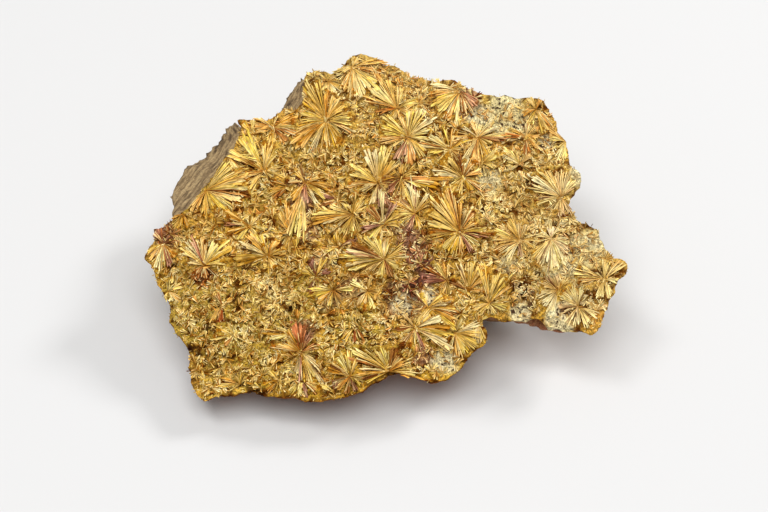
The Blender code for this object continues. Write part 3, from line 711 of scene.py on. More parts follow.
class Nodes:
    """A short way to add and link nodes of one tree."""

    def __init__(self, tree: bpy.types.NodeTree) -> None:
        """Keeps the tree."""
        self.tree = tree

    def feed(self, node: bpy.types.Node, **inputs: object) -> bpy.types.Node:
        """Links or sets inputs of a node.

        Args:
            node: The node.
            inputs: Values or sockets, by the input's name with _ for a space, or by in and its number.

        Returns:
            The node.
        """
        for name, value in inputs.items():
            key = int(name[2:]) if name[:2] == "in" and name[2:].isdigit() else name.replace("_", " ")
            if isinstance(value, bpy.types.NodeSocket):
                self.tree.links.new(value, node.inputs[key])
            else:
                node.inputs[key].default_value = value
        return node

    def add(self, kind: str, settings: dict | None = None, **inputs: object) -> bpy.types.Node:
        """Adds a node.

        Args:
            kind: The node's type.
            settings: Properties of the node itself.
            inputs: What its inputs get, as for feed.

        Returns:
            The node.
        """
        node = self.tree.nodes.new(kind)
        for name, value in (settings or {}).items():
            setattr(node, name, value)
        return self.feed(node, **inputs)

    def vector(self, operation: str, first: Feed, second: Feed) -> bpy.types.NodeSocket:
        """Works on two vectors."""
        return self.add("ShaderNodeVectorMath", {"operation": operation}, in0=first, in1=second).outputs[0]

    def scaled(self, vector: Feed, share: Feed) -> bpy.types.NodeSocket:
        """A vector or colour times a number."""
        return self.add("ShaderNodeVectorMath", {"operation": "SCALE"}, Vector=vector, Scale=share).outputs[0]

    def ranged(self, value: Feed, span: Pair, given: Pair) -> bpy.types.NodeSocket:
        """A number that goes from the one given to the other while a value passes a span."""
        return self.add("ShaderNodeMapRange", Value=value, From_Min=span[0], From_Max=span[1],
                        To_Min=given[0], To_Max=given[1]).outputs[0]

    def blend(self, share: Feed, first: Feed, second: Feed) -> bpy.types.NodeSocket:
        """A share of the way from one colour to another."""
        return self.add("ShaderNodeMix", {"data_type": "RGBA"}, in0=share, in6=first, in7=second).outputs[2]

    def layer(self, name: str, output: str = "Color") -> bpy.types.NodeSocket:
        """What a mesh's points carry under a name."""
        return self.add("ShaderNodeAttribute", {"attribute_name": name}).outputs[output]

    def noise(self, place: Feed, scale: float, detail: float, roughness: float = 0.5) -> bpy.types.NodeSocket:
        """A noise by place."""
        return self.add("ShaderNodeTexNoise", Vector=place, Scale=scale, Detail=detail,
                        Roughness=roughness).outputs[0]

    def bump(self, height: Feed, distance: float, strength: float) -> bpy.types.NodeSocket:
        """The normal of a surface with a relief."""
        return self.add("ShaderNodeBump", Height=height, Distance=distance, Strength=strength).outputs[0]


def new_material(name: str) -> tuple[bpy.types.Material, Nodes, bpy.types.Node]:
    """Makes a material with a bare Principled shader.

    Args:
        name: The material's name.

    Returns:
        The material, its nodes and the shader.
    """
    material = bpy.data.materials.new(name)
    material.use_nodes = True
    return material, Nodes(material.node_tree), material.node_tree.nodes["Principled BSDF"]


@dataclass(frozen=True)
class PearlyFinish:
    """Cleavage faces of one crystal: its own tone, fine streaks along it and a soft pearly gloss."""

    name: str = "pearly_crystal"
    streaks: tuple[float, float, float] = (4200.0, 500.0, 1000.0)
    streak_light: tuple[float, float] = (0.4, 1.6)
    roughness: tuple[float, float] = (0.24, 0.46)
    specular: float = 0.15
    sheen_tint: tuple[float, float, float] = (1.0, 0.82, 0.4)
    relief: float = 0.05 * MM
    ior: float = 1.5

    def make(self) -> bpy.types.Material:
        """Builds the material.

        Returns:
            The material.
        """
        material, nodes, shader = new_material(self.name)
        place = nodes.add("ShaderNodeMapping", Vector=nodes.layer("grain", "Vector"), Scale=self.streaks)
        streak = nodes.noise(place.outputs[0], 1.0, 2.0)
        shade = nodes.ranged(streak, (0.32, 0.68), self.streak_light)
        gloss = nodes.ranged(streak, (0.3, 0.7), self.roughness[::-1])
        nodes.feed(shader, Base_Color=nodes.scaled(nodes.layer("tone"), shade), Roughness=gloss,
                   Normal=nodes.bump(streak, self.relief, 0.5), IOR=self.ior,
                   Specular_IOR_Level=self.specular, Specular_Tint=(*self.sheen_tint, 1.0))
        return material


@dataclass(frozen=True)
class FeltFinish:
    """Felt of fine crystals, or matrix: a tone by place, fine grain and dark specks where it is speckled."""

    name: str = "crust_felt"
    grain_scale: float = 2600.0
    grain_light: tuple[float, float] = (0.25, 1.35)
    speck_scale: float = 1300.0
    relief: float = 0.15 * MM
    roughness: float = 0.6
    specular: float = 0.02

    def make(self) -> bpy.types.Material:
        """Builds the material.

        Returns:
            The material.
        """
        material, nodes, shader = new_material(self.name)
        place = nodes.add("ShaderNodeTexCoord").outputs["Object"]
        grain = nodes.noise(place, self.grain_scale, 3.0, 0.65)
        colour = nodes.scaled(nodes.layer("ground"), nodes.ranged(grain, (0.36, 0.66), self.grain_light))
        spot = nodes.ranged(nodes.noise(place, self.speck_scale, 3.0), (0.56, 0.6), (0.0, 1.0))
        share = nodes.add("ShaderNodeMath", {"operation": "MULTIPLY"}, in0=spot,
                          in1=nodes.layer("speckle", "Fac"))
        nodes.feed(shader, Base_Color=nodes.blend(share.outputs[0], colour, (*Tone.SOOT.value, 1.0)),
                   Normal=nodes.bump(grain, self.relief, 0.6), Roughness=self.roughness,
                   Specular_IOR_Level=self.specular)
        return material


@dataclass(frozen=True)
class StoneFinish:
    """Broken host rock: grey-brown, streaked along layers that lie like the face, rusty at the front."""

    name: str = "broken_stone"
    pale: tuple[float, float, float] = linear(190, 162, 116)
    brown: tuple[float, float, float] = linear(150, 124, 86)
    dark: tuple[float, float, float] = linear(90, 70, 46)
    rust: tuple[float, float, float] = linear(166, 88, 50)
    layer_turn: float = math.radians(-58.0)
    layer_scale: tuple[float, float, float] = (200.0, 1300.0, 2300.0)
    rust_from: float = -4.0 * MM
    rust_full: float = -22.0 * MM
    rust_share: float = 0.85
    grain_scale: float = 2200.0
    grain_light: tuple[float, float] = (0.55, 1.3)
    relief: float = 0.25 * MM
    roughness: float = 0.85

    def make(self) -> bpy.types.Material:
        """Builds the material.

        Returns:
            The material.
        """
        material, nodes, shader = new_material(self.name)
        place = nodes.add("ShaderNodeTexCoord").outputs["Object"]
        turned = nodes.add("ShaderNodeMapping", Vector=place, Rotation=(-SIGHT.lean, 0.0, self.layer_turn))
        layers = nodes.add("ShaderNodeMapping", Vector=turned.outputs[0], Scale=self.layer_scale)
        tones = nodes.add("ShaderNodeValToRGB", Fac=nodes.noise(layers.outputs[0], 1.0, 5.0, 0.6))
        ramp = tones.color_ramp
        ramp.elements[0].position, ramp.elements[0].color = 0.36, (*self.dark, 1.0)
        ramp.elements[1].position, ramp.elements[1].color = 0.62, (*self.pale, 1.0)
        ramp.elements.new(0.48).color = (*self.brown, 1.0)
        forward = nodes.add("ShaderNodeSeparateXYZ", Vector=place).outputs[1]
        stain = nodes.ranged(forward, (self.rust_from, self.rust_full), (0.0, self.rust_share))
        stained = nodes.blend(stain, tones.outputs[0], (*self.rust, 1.0))
        grain = nodes.noise(place, self.grain_scale, 4.0, 0.7)
        shade = nodes.ranged(grain, (0.3, 0.7), self.grain_light)
        nodes.feed(shader, Base_Color=nodes.scaled(stained, shade), Roughness=self.roughness,
                   Normal=nodes.bump(grain, self.relief, 0.7))
        return material


@dataclass(frozen=True)
class NeedleFinish:
    """Small crystals of the felt: the ground's tone, each somewhere from dark to the pale of tips."""

    name: str = "felt_crystal"
    dark: tuple[float, float, float] = (0.26, 0.13, 0.035)
    dark_share: float = 0.6
    pale_power: float = 3.0
    roughness: float = 0.42
    specular: float = 0.03

    def make(self) -> bpy.types.Material:
        """Builds the material.

        Returns:
            The material.
        """
        material, nodes, shader = new_material(self.name)
        tone, fleck = nodes.layer("chips"), nodes.layer("fleck", "Fac")
        top = nodes.add("ShaderNodeMath", {"operation": "POWER"}, in0=fleck, in1=self.pale_power)
        pale = nodes.blend(top.outputs[0], tone, nodes.layer("tips"))
        low = nodes.ranged(fleck, (0.0, self.dark_share), (0.0, 1.0))
        nodes.feed(shader, Base_Color=nodes.blend(low, nodes.vector("MULTIPLY", tone, self.dark), pale),
                   Roughness=self.roughness, Specular_IOR_Level=self.specular)
        return material


@dataclass
class HostRock:
    """The slab of rock under the crust: broken flanks with layers, chips and hollows."""

    voxel: float = 0.65 * MM
    chip_height: float = 0.4 * MM
    layer_height: float = 0.35 * MM
    broad_height: float = 1.8 * MM
    rest_zone: float = 0.8 * MM
    rest_blend: float = 2.0 * MM
    flatten: tuple[float, float, float] = (0.25, 0.25, 1.0)
    chips: tuple[Swell, Swell] = (Swell(3.2 * MM, 21), Swell(1.3 * MM, 22))
    layers: Swell = Swell(1.6 * MM, 23)
    hollows: Swell = Swell(6.5 * MM, 24)

    def build(self, node: bpy.types.Object) -> bpy.types.Object:
        """Makes the rock in place of its CAD node.

        Args:
            node: The CAD node.

        Returns:
            The rock.
        """
        rock = merged_copy(node, "broken_rock", self.voxel)
        mesh = rock.data
        points, normals = read_points(mesh, "co"), read_points(mesh, "normal")
        inner = np.clip((points[:, 2] - self.rest_zone) / self.rest_blend, 0.0, 1.0)
        chips = self.chips[0].at(points) + 0.5 * self.chips[1].at(points)
        layers = self.layers.at(points * np.array(self.flatten))
        lift = (self.chip_height * (chips - 0.2) + self.layer_height * (layers - 0.2)) * inner
        behind = np.clip((normals[:, 1] - 0.1) / 0.5, 0.0, 1.0)
        behind = behind * np.clip((0.4 - normals @ SIGHT.outward) / 0.4, 0.0, 1.0)
        broad = np.abs(self.hollows.at(points)) - 0.35
        lift = lift + self.broad_height * broad * behind * inner
        set_points(mesh, points + normals * lift[:, None])
        mesh.materials.clear()
        mesh.materials.append(StoneFinish().make())
        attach(rock, "root")
        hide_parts("host_rock")
        return rock


@dataclass
class CrustFelt:
    """The crust between and under the fans: a felt of very fine crystals, with pits and matrix."""

    voxel: float = 0.5 * MM
    sink: float = 0.45 * MM
    lump_height: float = 0.34 * MM
    grain_height: float = 0.2 * MM
    tip_paleness: float = 0.95
    lumps: Swell = Swell(1.5 * MM, 31)
    grains: Swell = Swell(0.7 * MM, 32)
    flecks: tuple[Swell, Swell] = (Swell(0.9 * MM, 33), Swell(2.0 * MM, 34))
    warmth: tuple[float, float, float] = (0.0, 0.07, 0.3)
    dark_take: tuple[float, float, float] = (0.8, 0.91, 0.97)
    rim_take: tuple[float, float, float] = (0.55, 0.72, 0.75)

    def build(self, node: bpy.types.Object, rosettes: list[Rosette]) -> bpy.types.Object:
        """Makes the felted crust in place of its CAD node.

        Args:
            node: The CAD node.
            rosettes: The rosettes that stand on it.

        Returns:
            The crust.
        """
        crust = merged_copy(node, "felted_crust", self.voxel)
        mesh = crust.data
        points, normals = read_points(mesh, "co"), read_points(mesh, "normal")
        facing = np.clip(normals @ SIGHT.outward, 0.0, 1.0)
        uneven = self.lumps.at(points) * self.lump_height + self.grains.at(points) * self.grain_height
        points = points + normals * uneven[:, None]
        points = points - np.outer(facing * self.sink, SIGHT.outward)
        set_points(mesh, points)
        tones, speckle = ground_tones(points)
        cover, under = fan_cover(points, rosettes)
        tones = mixed(tones, under, cover[:, None])
        fleck = self.flecks[0].at(points) + 0.5 * self.flecks[1].at(points)
        dark = (np.clip(0.12 + 1.8 * fleck, 0.0, 1.0) * (1.0 - 0.8 * speckle) * (1.0 - 0.6 * cover))[:, None]
        pixels = SIGHT.pixels(points)
        # Darker, redder low rim left of the right lobe, where the crust turns away from the face: partly its
        # own maroon colour, partly painted shade.
        rim = np.clip((0.6 - facing) / 0.35, 0.0, 1.0) * np.interp(pixels[:, 1], (215.0, 300.0), (0.0, 1.0))
        rim = (rim * np.interp(pixels[:, 0], (470.0, 530.0), (1.0, 0.0)))[:, None]
        warm = 1.0 - (1.0 - speckle)[:, None] * np.array(self.warmth)
        # Painted light by place over the felt, then its own random dark flecks.
        tones = shaded(tones * warm, painted_light(pixels)) * (1.0 - dark * np.array(self.dark_take))
        tones = tones * (1.0 - rim * np.array(self.rim_take))
        tips = mixed(tones, Tone.IVORY.rgb, self.tip_paleness * keenness(tones))
        bare = np.clip((facing - 0.25) / 0.75, 0.0, 1.0) ** 1.2 * (1.0 - 0.86 * cover) * (1.0 - 0.8 * speckle)
        # Painted shade: the felt ground is painted darker than its crystals, and darker still under the fans;
        # it is lighter where it is matrix.
        Layer.COLOUR.add(mesh, "ground", shaded(tones, 0.78 + 0.5 * speckle - 0.26 * cover))
        Layer.COLOUR.add(mesh, "chips", tones)
        Layer.COLOUR.add(mesh, "tips", tips)
        Layer.NUMBER.add(mesh, "speckle", speckle * (1.0 - 0.7 * cover))
        Layer.NUMBER.add(mesh, "bare", bare)
        mesh.materials.clear()
        mesh.materials.append(FeltFinish().make())
        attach(crust, "root")
        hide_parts("rosette_crust")
        return crust


FADE_ACROSS = ((460.0, 560.0), (0.0, 1.0))
FADE_DOWN = ((140.0, 200.0), (0.0, 1.0))


@dataclass(frozen=True)
class Bed:
    """How one fan lies: its height and tilt over the crust, its slope across, its colour and its brightness,
    which is painted light by place times a random shift of tone.
    """

    level: float
    tilt: float
    slope: float
    colour: np.ndarray
    bright: float


@dataclass
class CrystalBlades:
    """Blade crystals that fan out from the rosettes' centres, each a thin closed prism with a chisel end."""

    name: str = "rosette_blades"
    seed: int = 3
    pitch: float = 2.7
    rise: float = 0.95 * MM
    rise_reach: float = 30.0
    heel_rise: float = -0.2 * MM
    level_spread: float = 0.12 * MM
    blade_spread: float = 0.08
    tilt: float = 0.35 * MM
    roll: float = 0.14
    root: float = 0.5 * MM
    ridge_share: float = 0.12
    ridge: tuple[float, float] = (0.5, 1.6)
    skew: float = 0.85
    least_half_width: float = 0.06 * MM
    width: tuple[float, float] = (1.3, 2.7)
    taper: tuple[float, float] = (0.3, 0.9)
    jitter: float = 0.3
    stray: float = 1.2
    starts: tuple[tuple[float, float], ...] = ((0.04, 0.3), (0.0, 0.06))
    end: tuple[float, float] = (0.78, 1.2)
    corner_loss: float = 0.10
    droop: float = 0.45
    contrast: float = 0.24
    fan_contrast: float = 0.2
    fan_light: float = 0.2
    fade_right: float = 0.3
    pale_share: float = 0.07
    brown_share: float = 0.05
    # Thin lines on each fan, painted highlights and creases of painted shade.
    line_pitch: float = 5.5
    line_half_width: tuple[float, float] = (0.4, 0.9)
    line_start: tuple[float, float] = (0.0, 0.35)
    line_end: tuple[float, float] = (0.6, 1.15)
    line_overhang: float = 1.1
    line_rise: float = 1.12
    painted_highlight_lines: float = 0.45
    # Painted light and shade on each blade: darker heels, partly the rosettes' own brown centres, darker
    # edges and a lit ridge.
    heel_light: float = 0.42
    edge_light: float = 0.82
    ridge_light: float = 1.06
    mottle: float = 0.34
    mottles: Swell = Swell(2.4 * MM, 51)
    grain_step: float = 7.0 * MM
    least_cover: float = 0.5
    stations: tuple[float, ...] = (0.0, 0.5, 1.0)

    def spread(self, rosettes: list[Rosette]) -> dict[str, np.ndarray]:
        """Deals out the blades and the thin lines of every fan.

        Args:
            rosettes: The rosettes, each with its fans.

        Returns:
            The heel and tip pixels, the half widths at both ends, the rises, the ridge's offset and height,
            the roll, the share of the fan's reach where the blade starts, and the colours.
        """
        random = np.random.default_rng(self.seed)
        rows = []
        for rosette in rosettes:
            fade = self.fade_right * np.interp(rosette.x, *FADE_ACROSS) * np.interp(rosette.y, *FADE_DOWN)
            # Painted light by place for this rosette, times a random shift of each fan's tone below.
            light = painted_light(np.array((rosette.x, rosette.y)))
            for fan in rosette.fans:
                level = random.normal(0.0, self.level_spread)
                tilt = self.tilt * random.uniform(-1.0, 1.0)
                slope = tilt / (math.sin(math.radians(fan.half_width)) * fan.reach * SIGHT.metres_per_px)
                bright = light * math.exp(random.normal(self.fan_light, self.fan_contrast))
                bed = Bed(level, tilt, slope, mixed(np.array(fan.colour), Tone.CREAM.rgb, fade), bright)
                rows += self.blade_rows(rosette, fan, bed, random)
                rows += self.line_rows(rosette, fan, bed, random)
        table = np.array(rows)
        return {"heel": table[:, 0:2], "tip": table[:, 2:4], "half": table[:, 4:6], "rise": table[:, 6],
                "skew": table[:, 7], "ridge": table[:, 8], "roll": table[:, 9], "start": table[:, 10],
                "tone": table[:, 11:14]}

    def blade_rows(self, rosette: Rosette, fan: Fan, bed: Bed, random: np.random.Generator) -> list[tuple]:
        """Deals out the blades of one fan.

        Args:
            rosette: The rosette, which gives the centre.
            fan: The fan.
            bed: How it lies.
            random: The source of chance.

        Returns:
            One row for each blade.
        """
        rows = []
        count = max(2, round(2.0 * fan.half_width / self.pitch))
        for blade in range(count):
            share = (blade + 0.5 + random.uniform(-self.jitter, self.jitter)) / count
            off = 2.0 * share - 1.0
            turn = math.radians(fan.direction + fan.half_width * off + random.normal(0, self.stray))
            start = fan.reach * random.uniform(*self.starts[blade % 2])
            end = fan.reach * random.uniform(*self.end) * (1.0 - self.corner_loss * abs(off) ** 2)
            half = math.radians(fan.half_width / count) * random.uniform(*self.width)
            lift = self.rise * math.sqrt(fan.reach / self.rise_reach)
            lift = lift * random.normal(1.0, self.blade_spread) + bed.level + bed.tilt * off
            halves = (start * half, end * half * random.uniform(*self.taper))
            ridge = (random.uniform(-self.skew, self.skew), random.uniform(*self.ridge))
            roll = bed.slope + random.uniform(-self.roll, self.roll)
            rows.append((*self.ends(rosette, turn, start, end), *halves, lift, *ridge, roll,
                         start / fan.reach, *self.tint(bed, random)))
        return rows

    def line_rows(self, rosette: Rosette, fan: Fan, bed: Bed, random: np.random.Generator) -> list[tuple]:
        """Deals out the thin lines that lie on one fan: painted highlights and creases of painted shade.

        Args:
            rosette: The rosette, which gives the centre.
            fan: The fan.
            bed: How it lies.
            random: The source of chance.

        Returns:
            One row for each line.
        """
        rows = []
        for _ in range(round(2.0 * fan.half_width / self.line_pitch)):
            off = 2.0 * random.uniform() - 1.0
            turn = math.radians(fan.direction + fan.half_width * off * self.line_overhang)
            start = fan.reach * random.uniform(*self.line_start)
            end = fan.reach * random.uniform(*self.line_end)
            half = math.radians(random.uniform(*self.line_half_width))
            lift = self.rise * math.sqrt(fan.reach / self.rise_reach) * self.line_rise
            lift = lift + bed.level + bed.tilt * off
            rows.append((*self.ends(rosette, turn, start, end), start * half, end * half, lift, 0.0, 1.0,
                         bed.slope, start / fan.reach, *shaded(self.painted_line_tint(bed, random), bed.bright)))
        return rows

    def ends(self, rosette: Rosette, turn: float, start: float, end: float) -> tuple[float, ...]:
        """The heel and tip pixels of a blade that points at an angle in radians."""
        right, down = math.cos(turn), -math.sin(turn)
        return (rosette.x + start * right, rosette.y + start * down,
                rosette.x + end * right, rosette.y + end * down)

    def tint(self, bed: Bed, random: np.random.Generator) -> np.ndarray:
        """The colour of one blade: its fan's, some lighter and some darker, under its fan's painted light by
        place.

        Args:
            bed: How its fan lies, with its colour.
            random: The source of chance.

        Returns:
            The linear colour.
        """
        tint = bed.colour
        pick = random.uniform()
        if pick < self.pale_share:
            tint = mixed(tint, Tone.IVORY.rgb, random.uniform(0.3, 0.9))
        elif pick < self.pale_share + self.brown_share:
            tint = mixed(tint, Tone.BROWN.rgb, random.uniform(0.3, 0.8))
        return shaded(tint, bed.bright * math.exp(random.normal(0.0, self.contrast)))

    def painted_line_tint(self, bed: Bed, random: np.random.Generator) -> np.ndarray:
        """The colour of one thin line: nearly cream, a painted highlight, or dark brown, a crease of painted
        shade.
        """
        line = Tone.IVORY.rgb if random.uniform() < self.painted_highlight_lines else Tone.RUST.rgb * 0.35
        return mixed(bed.colour, line, random.uniform(0.3, 0.9))

    def build(self, face: CrystalFace, rosettes: list[Rosette]) -> bpy.types.Object:
        """Makes all blades as one mesh.

        Args:
            face: The face that they stand on.
            rosettes: The rosettes.

        Returns:
            The blades.
        """
        deal = self.spread(rosettes)
        heel, tip = face.locate(deal["heel"]), face.locate(deal["tip"])
        run = tip - heel
        length = np.linalg.norm(run, axis=1)
        run = run / length[:, None]
        length = length * self.on_crust(face, heel, run * length[:, None])
        side = np.stack((-run[:, 1], run[:, 0]), axis=1)
        count = len(heel)
        identity = np.arange(count) * 1.0
        points, tones, grain = [], [], []
        for share in self.stations:
            half = (deal["half"][:, 0] * (1 - share) + deal["half"][:, 1] * share) * SIGHT.metres_per_px
            half = np.maximum(half, self.least_half_width)
            along = deal["start"] + (1.0 - deal["start"]) * share
            rise = (deal["rise"] - self.heel_rise) * along ** 0.85 * (1.0 - self.droop * share ** 2)
            rise = self.heel_rise + rise
            crest = half * self.ridge_share * deal["ridge"]
            lean = half * deal["roll"]
            keel = self.root * (0.4 + 0.6 * along)
            at_end = share == self.stations[-1]
            # Each corner's painted light: edges in painted shade, the ridge lit, the keel underneath in
            # painted shade.
            for across, lift, back, light in ((half, rise - 0.3 * crest + lean, 0.10, self.edge_light),
                                              (half * deal["skew"], rise + crest, 0.0, self.ridge_light),
                                              (-half, rise - 0.3 * crest - lean, 0.06, self.edge_light),
                                              (0.0 * half, rise - keel, 0.16, 0.4)):
                travel = length * (share - (back if at_end else 0.0))
                spots = heel + run * travel[:, None] + side * across[:, None]
                placed = face.place(spots, lift)
                points.append(placed)
                # Painted shade towards the heel, partly the rosettes' own brown centres; the mottle is the
                # crystals' own tone.
                bright = self.heel_light + (1.04 - self.heel_light) * along ** 0.45
                mottle = 1.0 + self.mottle * self.mottles.at(placed)
                tones.append(shaded(deal["tone"], light * bright * mottle))
                grain.append(np.stack((across + identity * self.grain_step, travel, identity * MM), axis=1))
        blades = new_object(self.name, np.concatenate(points), self.faces(count, np.concatenate(points)))
        Layer.COLOUR.add(blades.data, "tone", np.concatenate(tones))
        Layer.VECTOR.add(blades.data, "grain", np.concatenate(grain))
        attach(blades, "root")
        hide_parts("rosette_crust")
        return blades

    def on_crust(self, face: CrystalFace, heel: np.ndarray, run: np.ndarray) -> np.ndarray:
        """How much of each blade lies on the crust.

        Args:
            face: The face that the blades stand on.
            heel: Where they start, across and up the face.
            run: From there to their tips.

        Returns:
            A share of the length of each.
        """
        kept = np.full(len(heel), 0.3)
        for share in np.arange(0.4, 1.05, 0.1):
            kept = np.where(face.sample(face.cover, heel + run * share) > self.least_cover, share, kept)
        return kept

    def faces(self, count: int, points: np.ndarray) -> np.ndarray:
        """The four-sided faces of all blades, facing outwards.

        Args:
            count: The number of blades.
            points: Their points, all blades' first corner first.

        Returns:
            Point numbers, one face a row.
        """
        ring = 4
        top = (len(self.stations) - 1) * ring
        pairs = [(level, part, (part + 1) % ring) for level in range(0, top, ring) for part in range(ring)]
        corners = [(level + here, level + there, level + ring + there, level + ring + here)
                   for level, here, there in pairs]
        corners += [(3, 2, 1, 0), (top, top + 1, top + 2, top + 3)]
        faces = np.concatenate([np.arange(count)[:, None] + np.array(corner)[None, :] * count
                                for corner in corners])
        a, b, c, d = (points[faces[:, corner]] for corner in range(4))
        volume = np.einsum("ij,ij->", a, np.cross(b, c)) + np.einsum("ij,ij->", a, np.cross(c, d))
        return faces if volume > 0.0 else faces[:, ::-1]


@dataclass
class LowBlades(CrystalBlades):
    """The low blades all round each rosette."""

    name: str = "low_blades"
    seed: int = 4
    pitch: float = 3.9
    rise: float = 0.6 * MM
    droop: float = 0.6
    width: tuple[float, float] = (0.6, 1.25)
    fan_light: float = 0.05


@dataclass
class SprayBlades(CrystalBlades):
    """The short blades of the felt's sprays."""

    name: str = "felt_sprays"
    seed: int = 5
    pitch: float = 13.0
    rise: float = 0.38 * MM
    rise_reach: float = 8.0
    level_spread: float = 0.15 * MM
    width: tuple[float, float] = (0.6, 1.3)
    contrast: float = 0.5
    blade_spread: float = 0.3
    roll: float = 0.5
    tilt: float = 0.0
    ridge_share: float = 0.3
    line_pitch: float = 400.0
    stations: tuple[float, ...] = (0.0, 1.0)
    least_half_width: float = 0.045 * MM
    root: float = 0.35 * MM
    pale_share: float = 0.35
    brown_share: float = 0.12
    # Painted shade at the heels and edges of the spray blades.
    edge_light: float = 0.8
    heel_light: float = 0.5
    fan_light: float = 0.05


@dataclass
class UnderFans:
    """Low blades all round each rosette, out to where the next rosette's begin."""

    seed: int = 23
    sector: float = 13.0
    reach_share: float = 0.75
    kept: float = 0.5
    least_reach: float = 6.0
    ground_share: float = 0.8
    reach_spread: tuple[float, float] = (0.55, 1.2)
    light: tuple[float, float] = (0.5, 1.05)
    least_cover: float = 0.7

    def deal(self, face: CrystalFace, rosettes: list[Rosette]) -> list[Rosette]:
        """Fills the circle of each rosette.

        Args:
            face: The face that they stand on.
            rosettes: The rosettes.

        Returns:
            The filling as rosettes of their own.
        """
        random = np.random.default_rng(self.seed)
        centres = np.array([(rosette.x, rosette.y) for rosette in rosettes])
        sizes = np.array([np.mean([fan.reach for fan in rosette.fans]) for rosette in rosettes])
        filled = []
        for index, rosette in enumerate(rosettes):
            away = (np.delete(centres, index, axis=0) - centres[index]) * (1.0, -1.0)
            share = 2.0 * sizes[index] / (sizes[index] + np.delete(sizes, index))
            fans = []
            for direction in np.arange(0.0, 360.0, self.sector) + random.uniform(0.0, self.sector):
                aim = np.array((math.cos(math.radians(direction)), math.sin(math.radians(direction))))
                ahead = np.maximum(away @ aim, 1e-6)
                limit = (share * (away ** 2).sum(axis=1) / (2.0 * ahead)).min()
                reach = min(sizes[index] * self.reach_share, limit) * random.uniform(*self.reach_spread)
                ends = np.array([(rosette.x + aim[0] * reach * part, rosette.y - aim[1] * reach * part)
                                 for part in (1.0, 0.6)])
                spots = face.locate(ends)
                off_crust = face.sample(face.cover, spots).min() < self.least_cover
                if random.uniform() > self.kept or reach < self.least_reach or off_crust:
                    continue
                ground, _ = ground_tones(face.place(spots, np.zeros(2)))
                off = [abs((fan.direction - direction + 180.0) % 360.0 - 180.0) - fan.half_width
                       for fan in rosette.fans]
                own = np.array(rosette.fans[int(np.argmin(off))].colour)
                colour = mixed(own, ground[1], self.ground_share) * random.uniform(*self.light)
                fans.append(Fan(float(direction), 0.5 * self.sector, float(reach), tuple(colour)))
            if fans:
                filled.append(Rosette(rosette.x, rosette.y, tuple(fans)))
        return filled


@dataclass
class FeltSprays:
    """Small sprays of blades that fill the felt between the rosettes, at random but always the same."""

    seed: int = 41
    spacing: float = 5.2
    reach: tuple[float, float] = (3.5, 9.5)
    on_fans: float = 0.12
    paleness: float = 0.4
    on_matrix: float = 0.45
    left_top: tuple[float, float] = (140.0, 48.0)
    right_bottom: tuple[float, float] = (636.0, 410.0)
    least_cover: float = 0.8
    fan_counts: tuple[int, int] = (1, 4)
    turns: tuple[float, float] = (60.0, 130.0)
    half_width: tuple[float, float] = (14.0, 32.0)
    light: tuple[float, float] = (0.45, 1.45)

    def deal(self, face: CrystalFace, rosettes: list[Rosette]) -> list[Rosette]:
        """Picks the sprays.

        Args:
            face: The face that they stand on.
            rosettes: The large rosettes, whose fans stay clear.

        Returns:
            The sprays as small rosettes.
        """
        random = np.random.default_rng(self.seed)
        columns = np.arange(self.left_top[0], self.right_bottom[0], self.spacing)
        rows = np.arange(self.left_top[1], self.right_bottom[1], self.spacing)
        pixels = np.stack(np.meshgrid(columns, rows), axis=-1).reshape(-1, 2)
        pixels = pixels + random.uniform(-0.6, 0.6, pixels.shape) * self.spacing
        spots = face.locate(pixels)
        points = face.place(spots, np.zeros(len(spots)))
        clear = (fan_cover(points, rosettes)[0] < 0.5) | (random.uniform(size=len(points)) < self.on_fans)
        open_ground = (face.sample(face.cover, spots) > self.least_cover) & clear
        tones, speckle = ground_tones(points)
        open_ground &= (speckle < 0.5) | (random.uniform(size=len(points)) < self.on_matrix)
        tones = mixed(tones, Tone.BUTTER.rgb, self.paleness * keenness(tones) * (1.0 - speckle[:, None]))
        sprays = []
        for (x, y), colour in zip(pixels[open_ground], tones[open_ground]):
            middle = random.uniform(0.0, 360.0)
            fans = []
            for _ in range(random.integers(*self.fan_counts)):
                middle += random.uniform(*self.turns)
                fans.append(Fan(middle, random.uniform(*self.half_width), random.uniform(*self.reach),
                                tuple(shaded(colour, random.uniform(*self.light)))))
            sprays.append(Rosette(x, y, tuple(fans)))
        return sprays


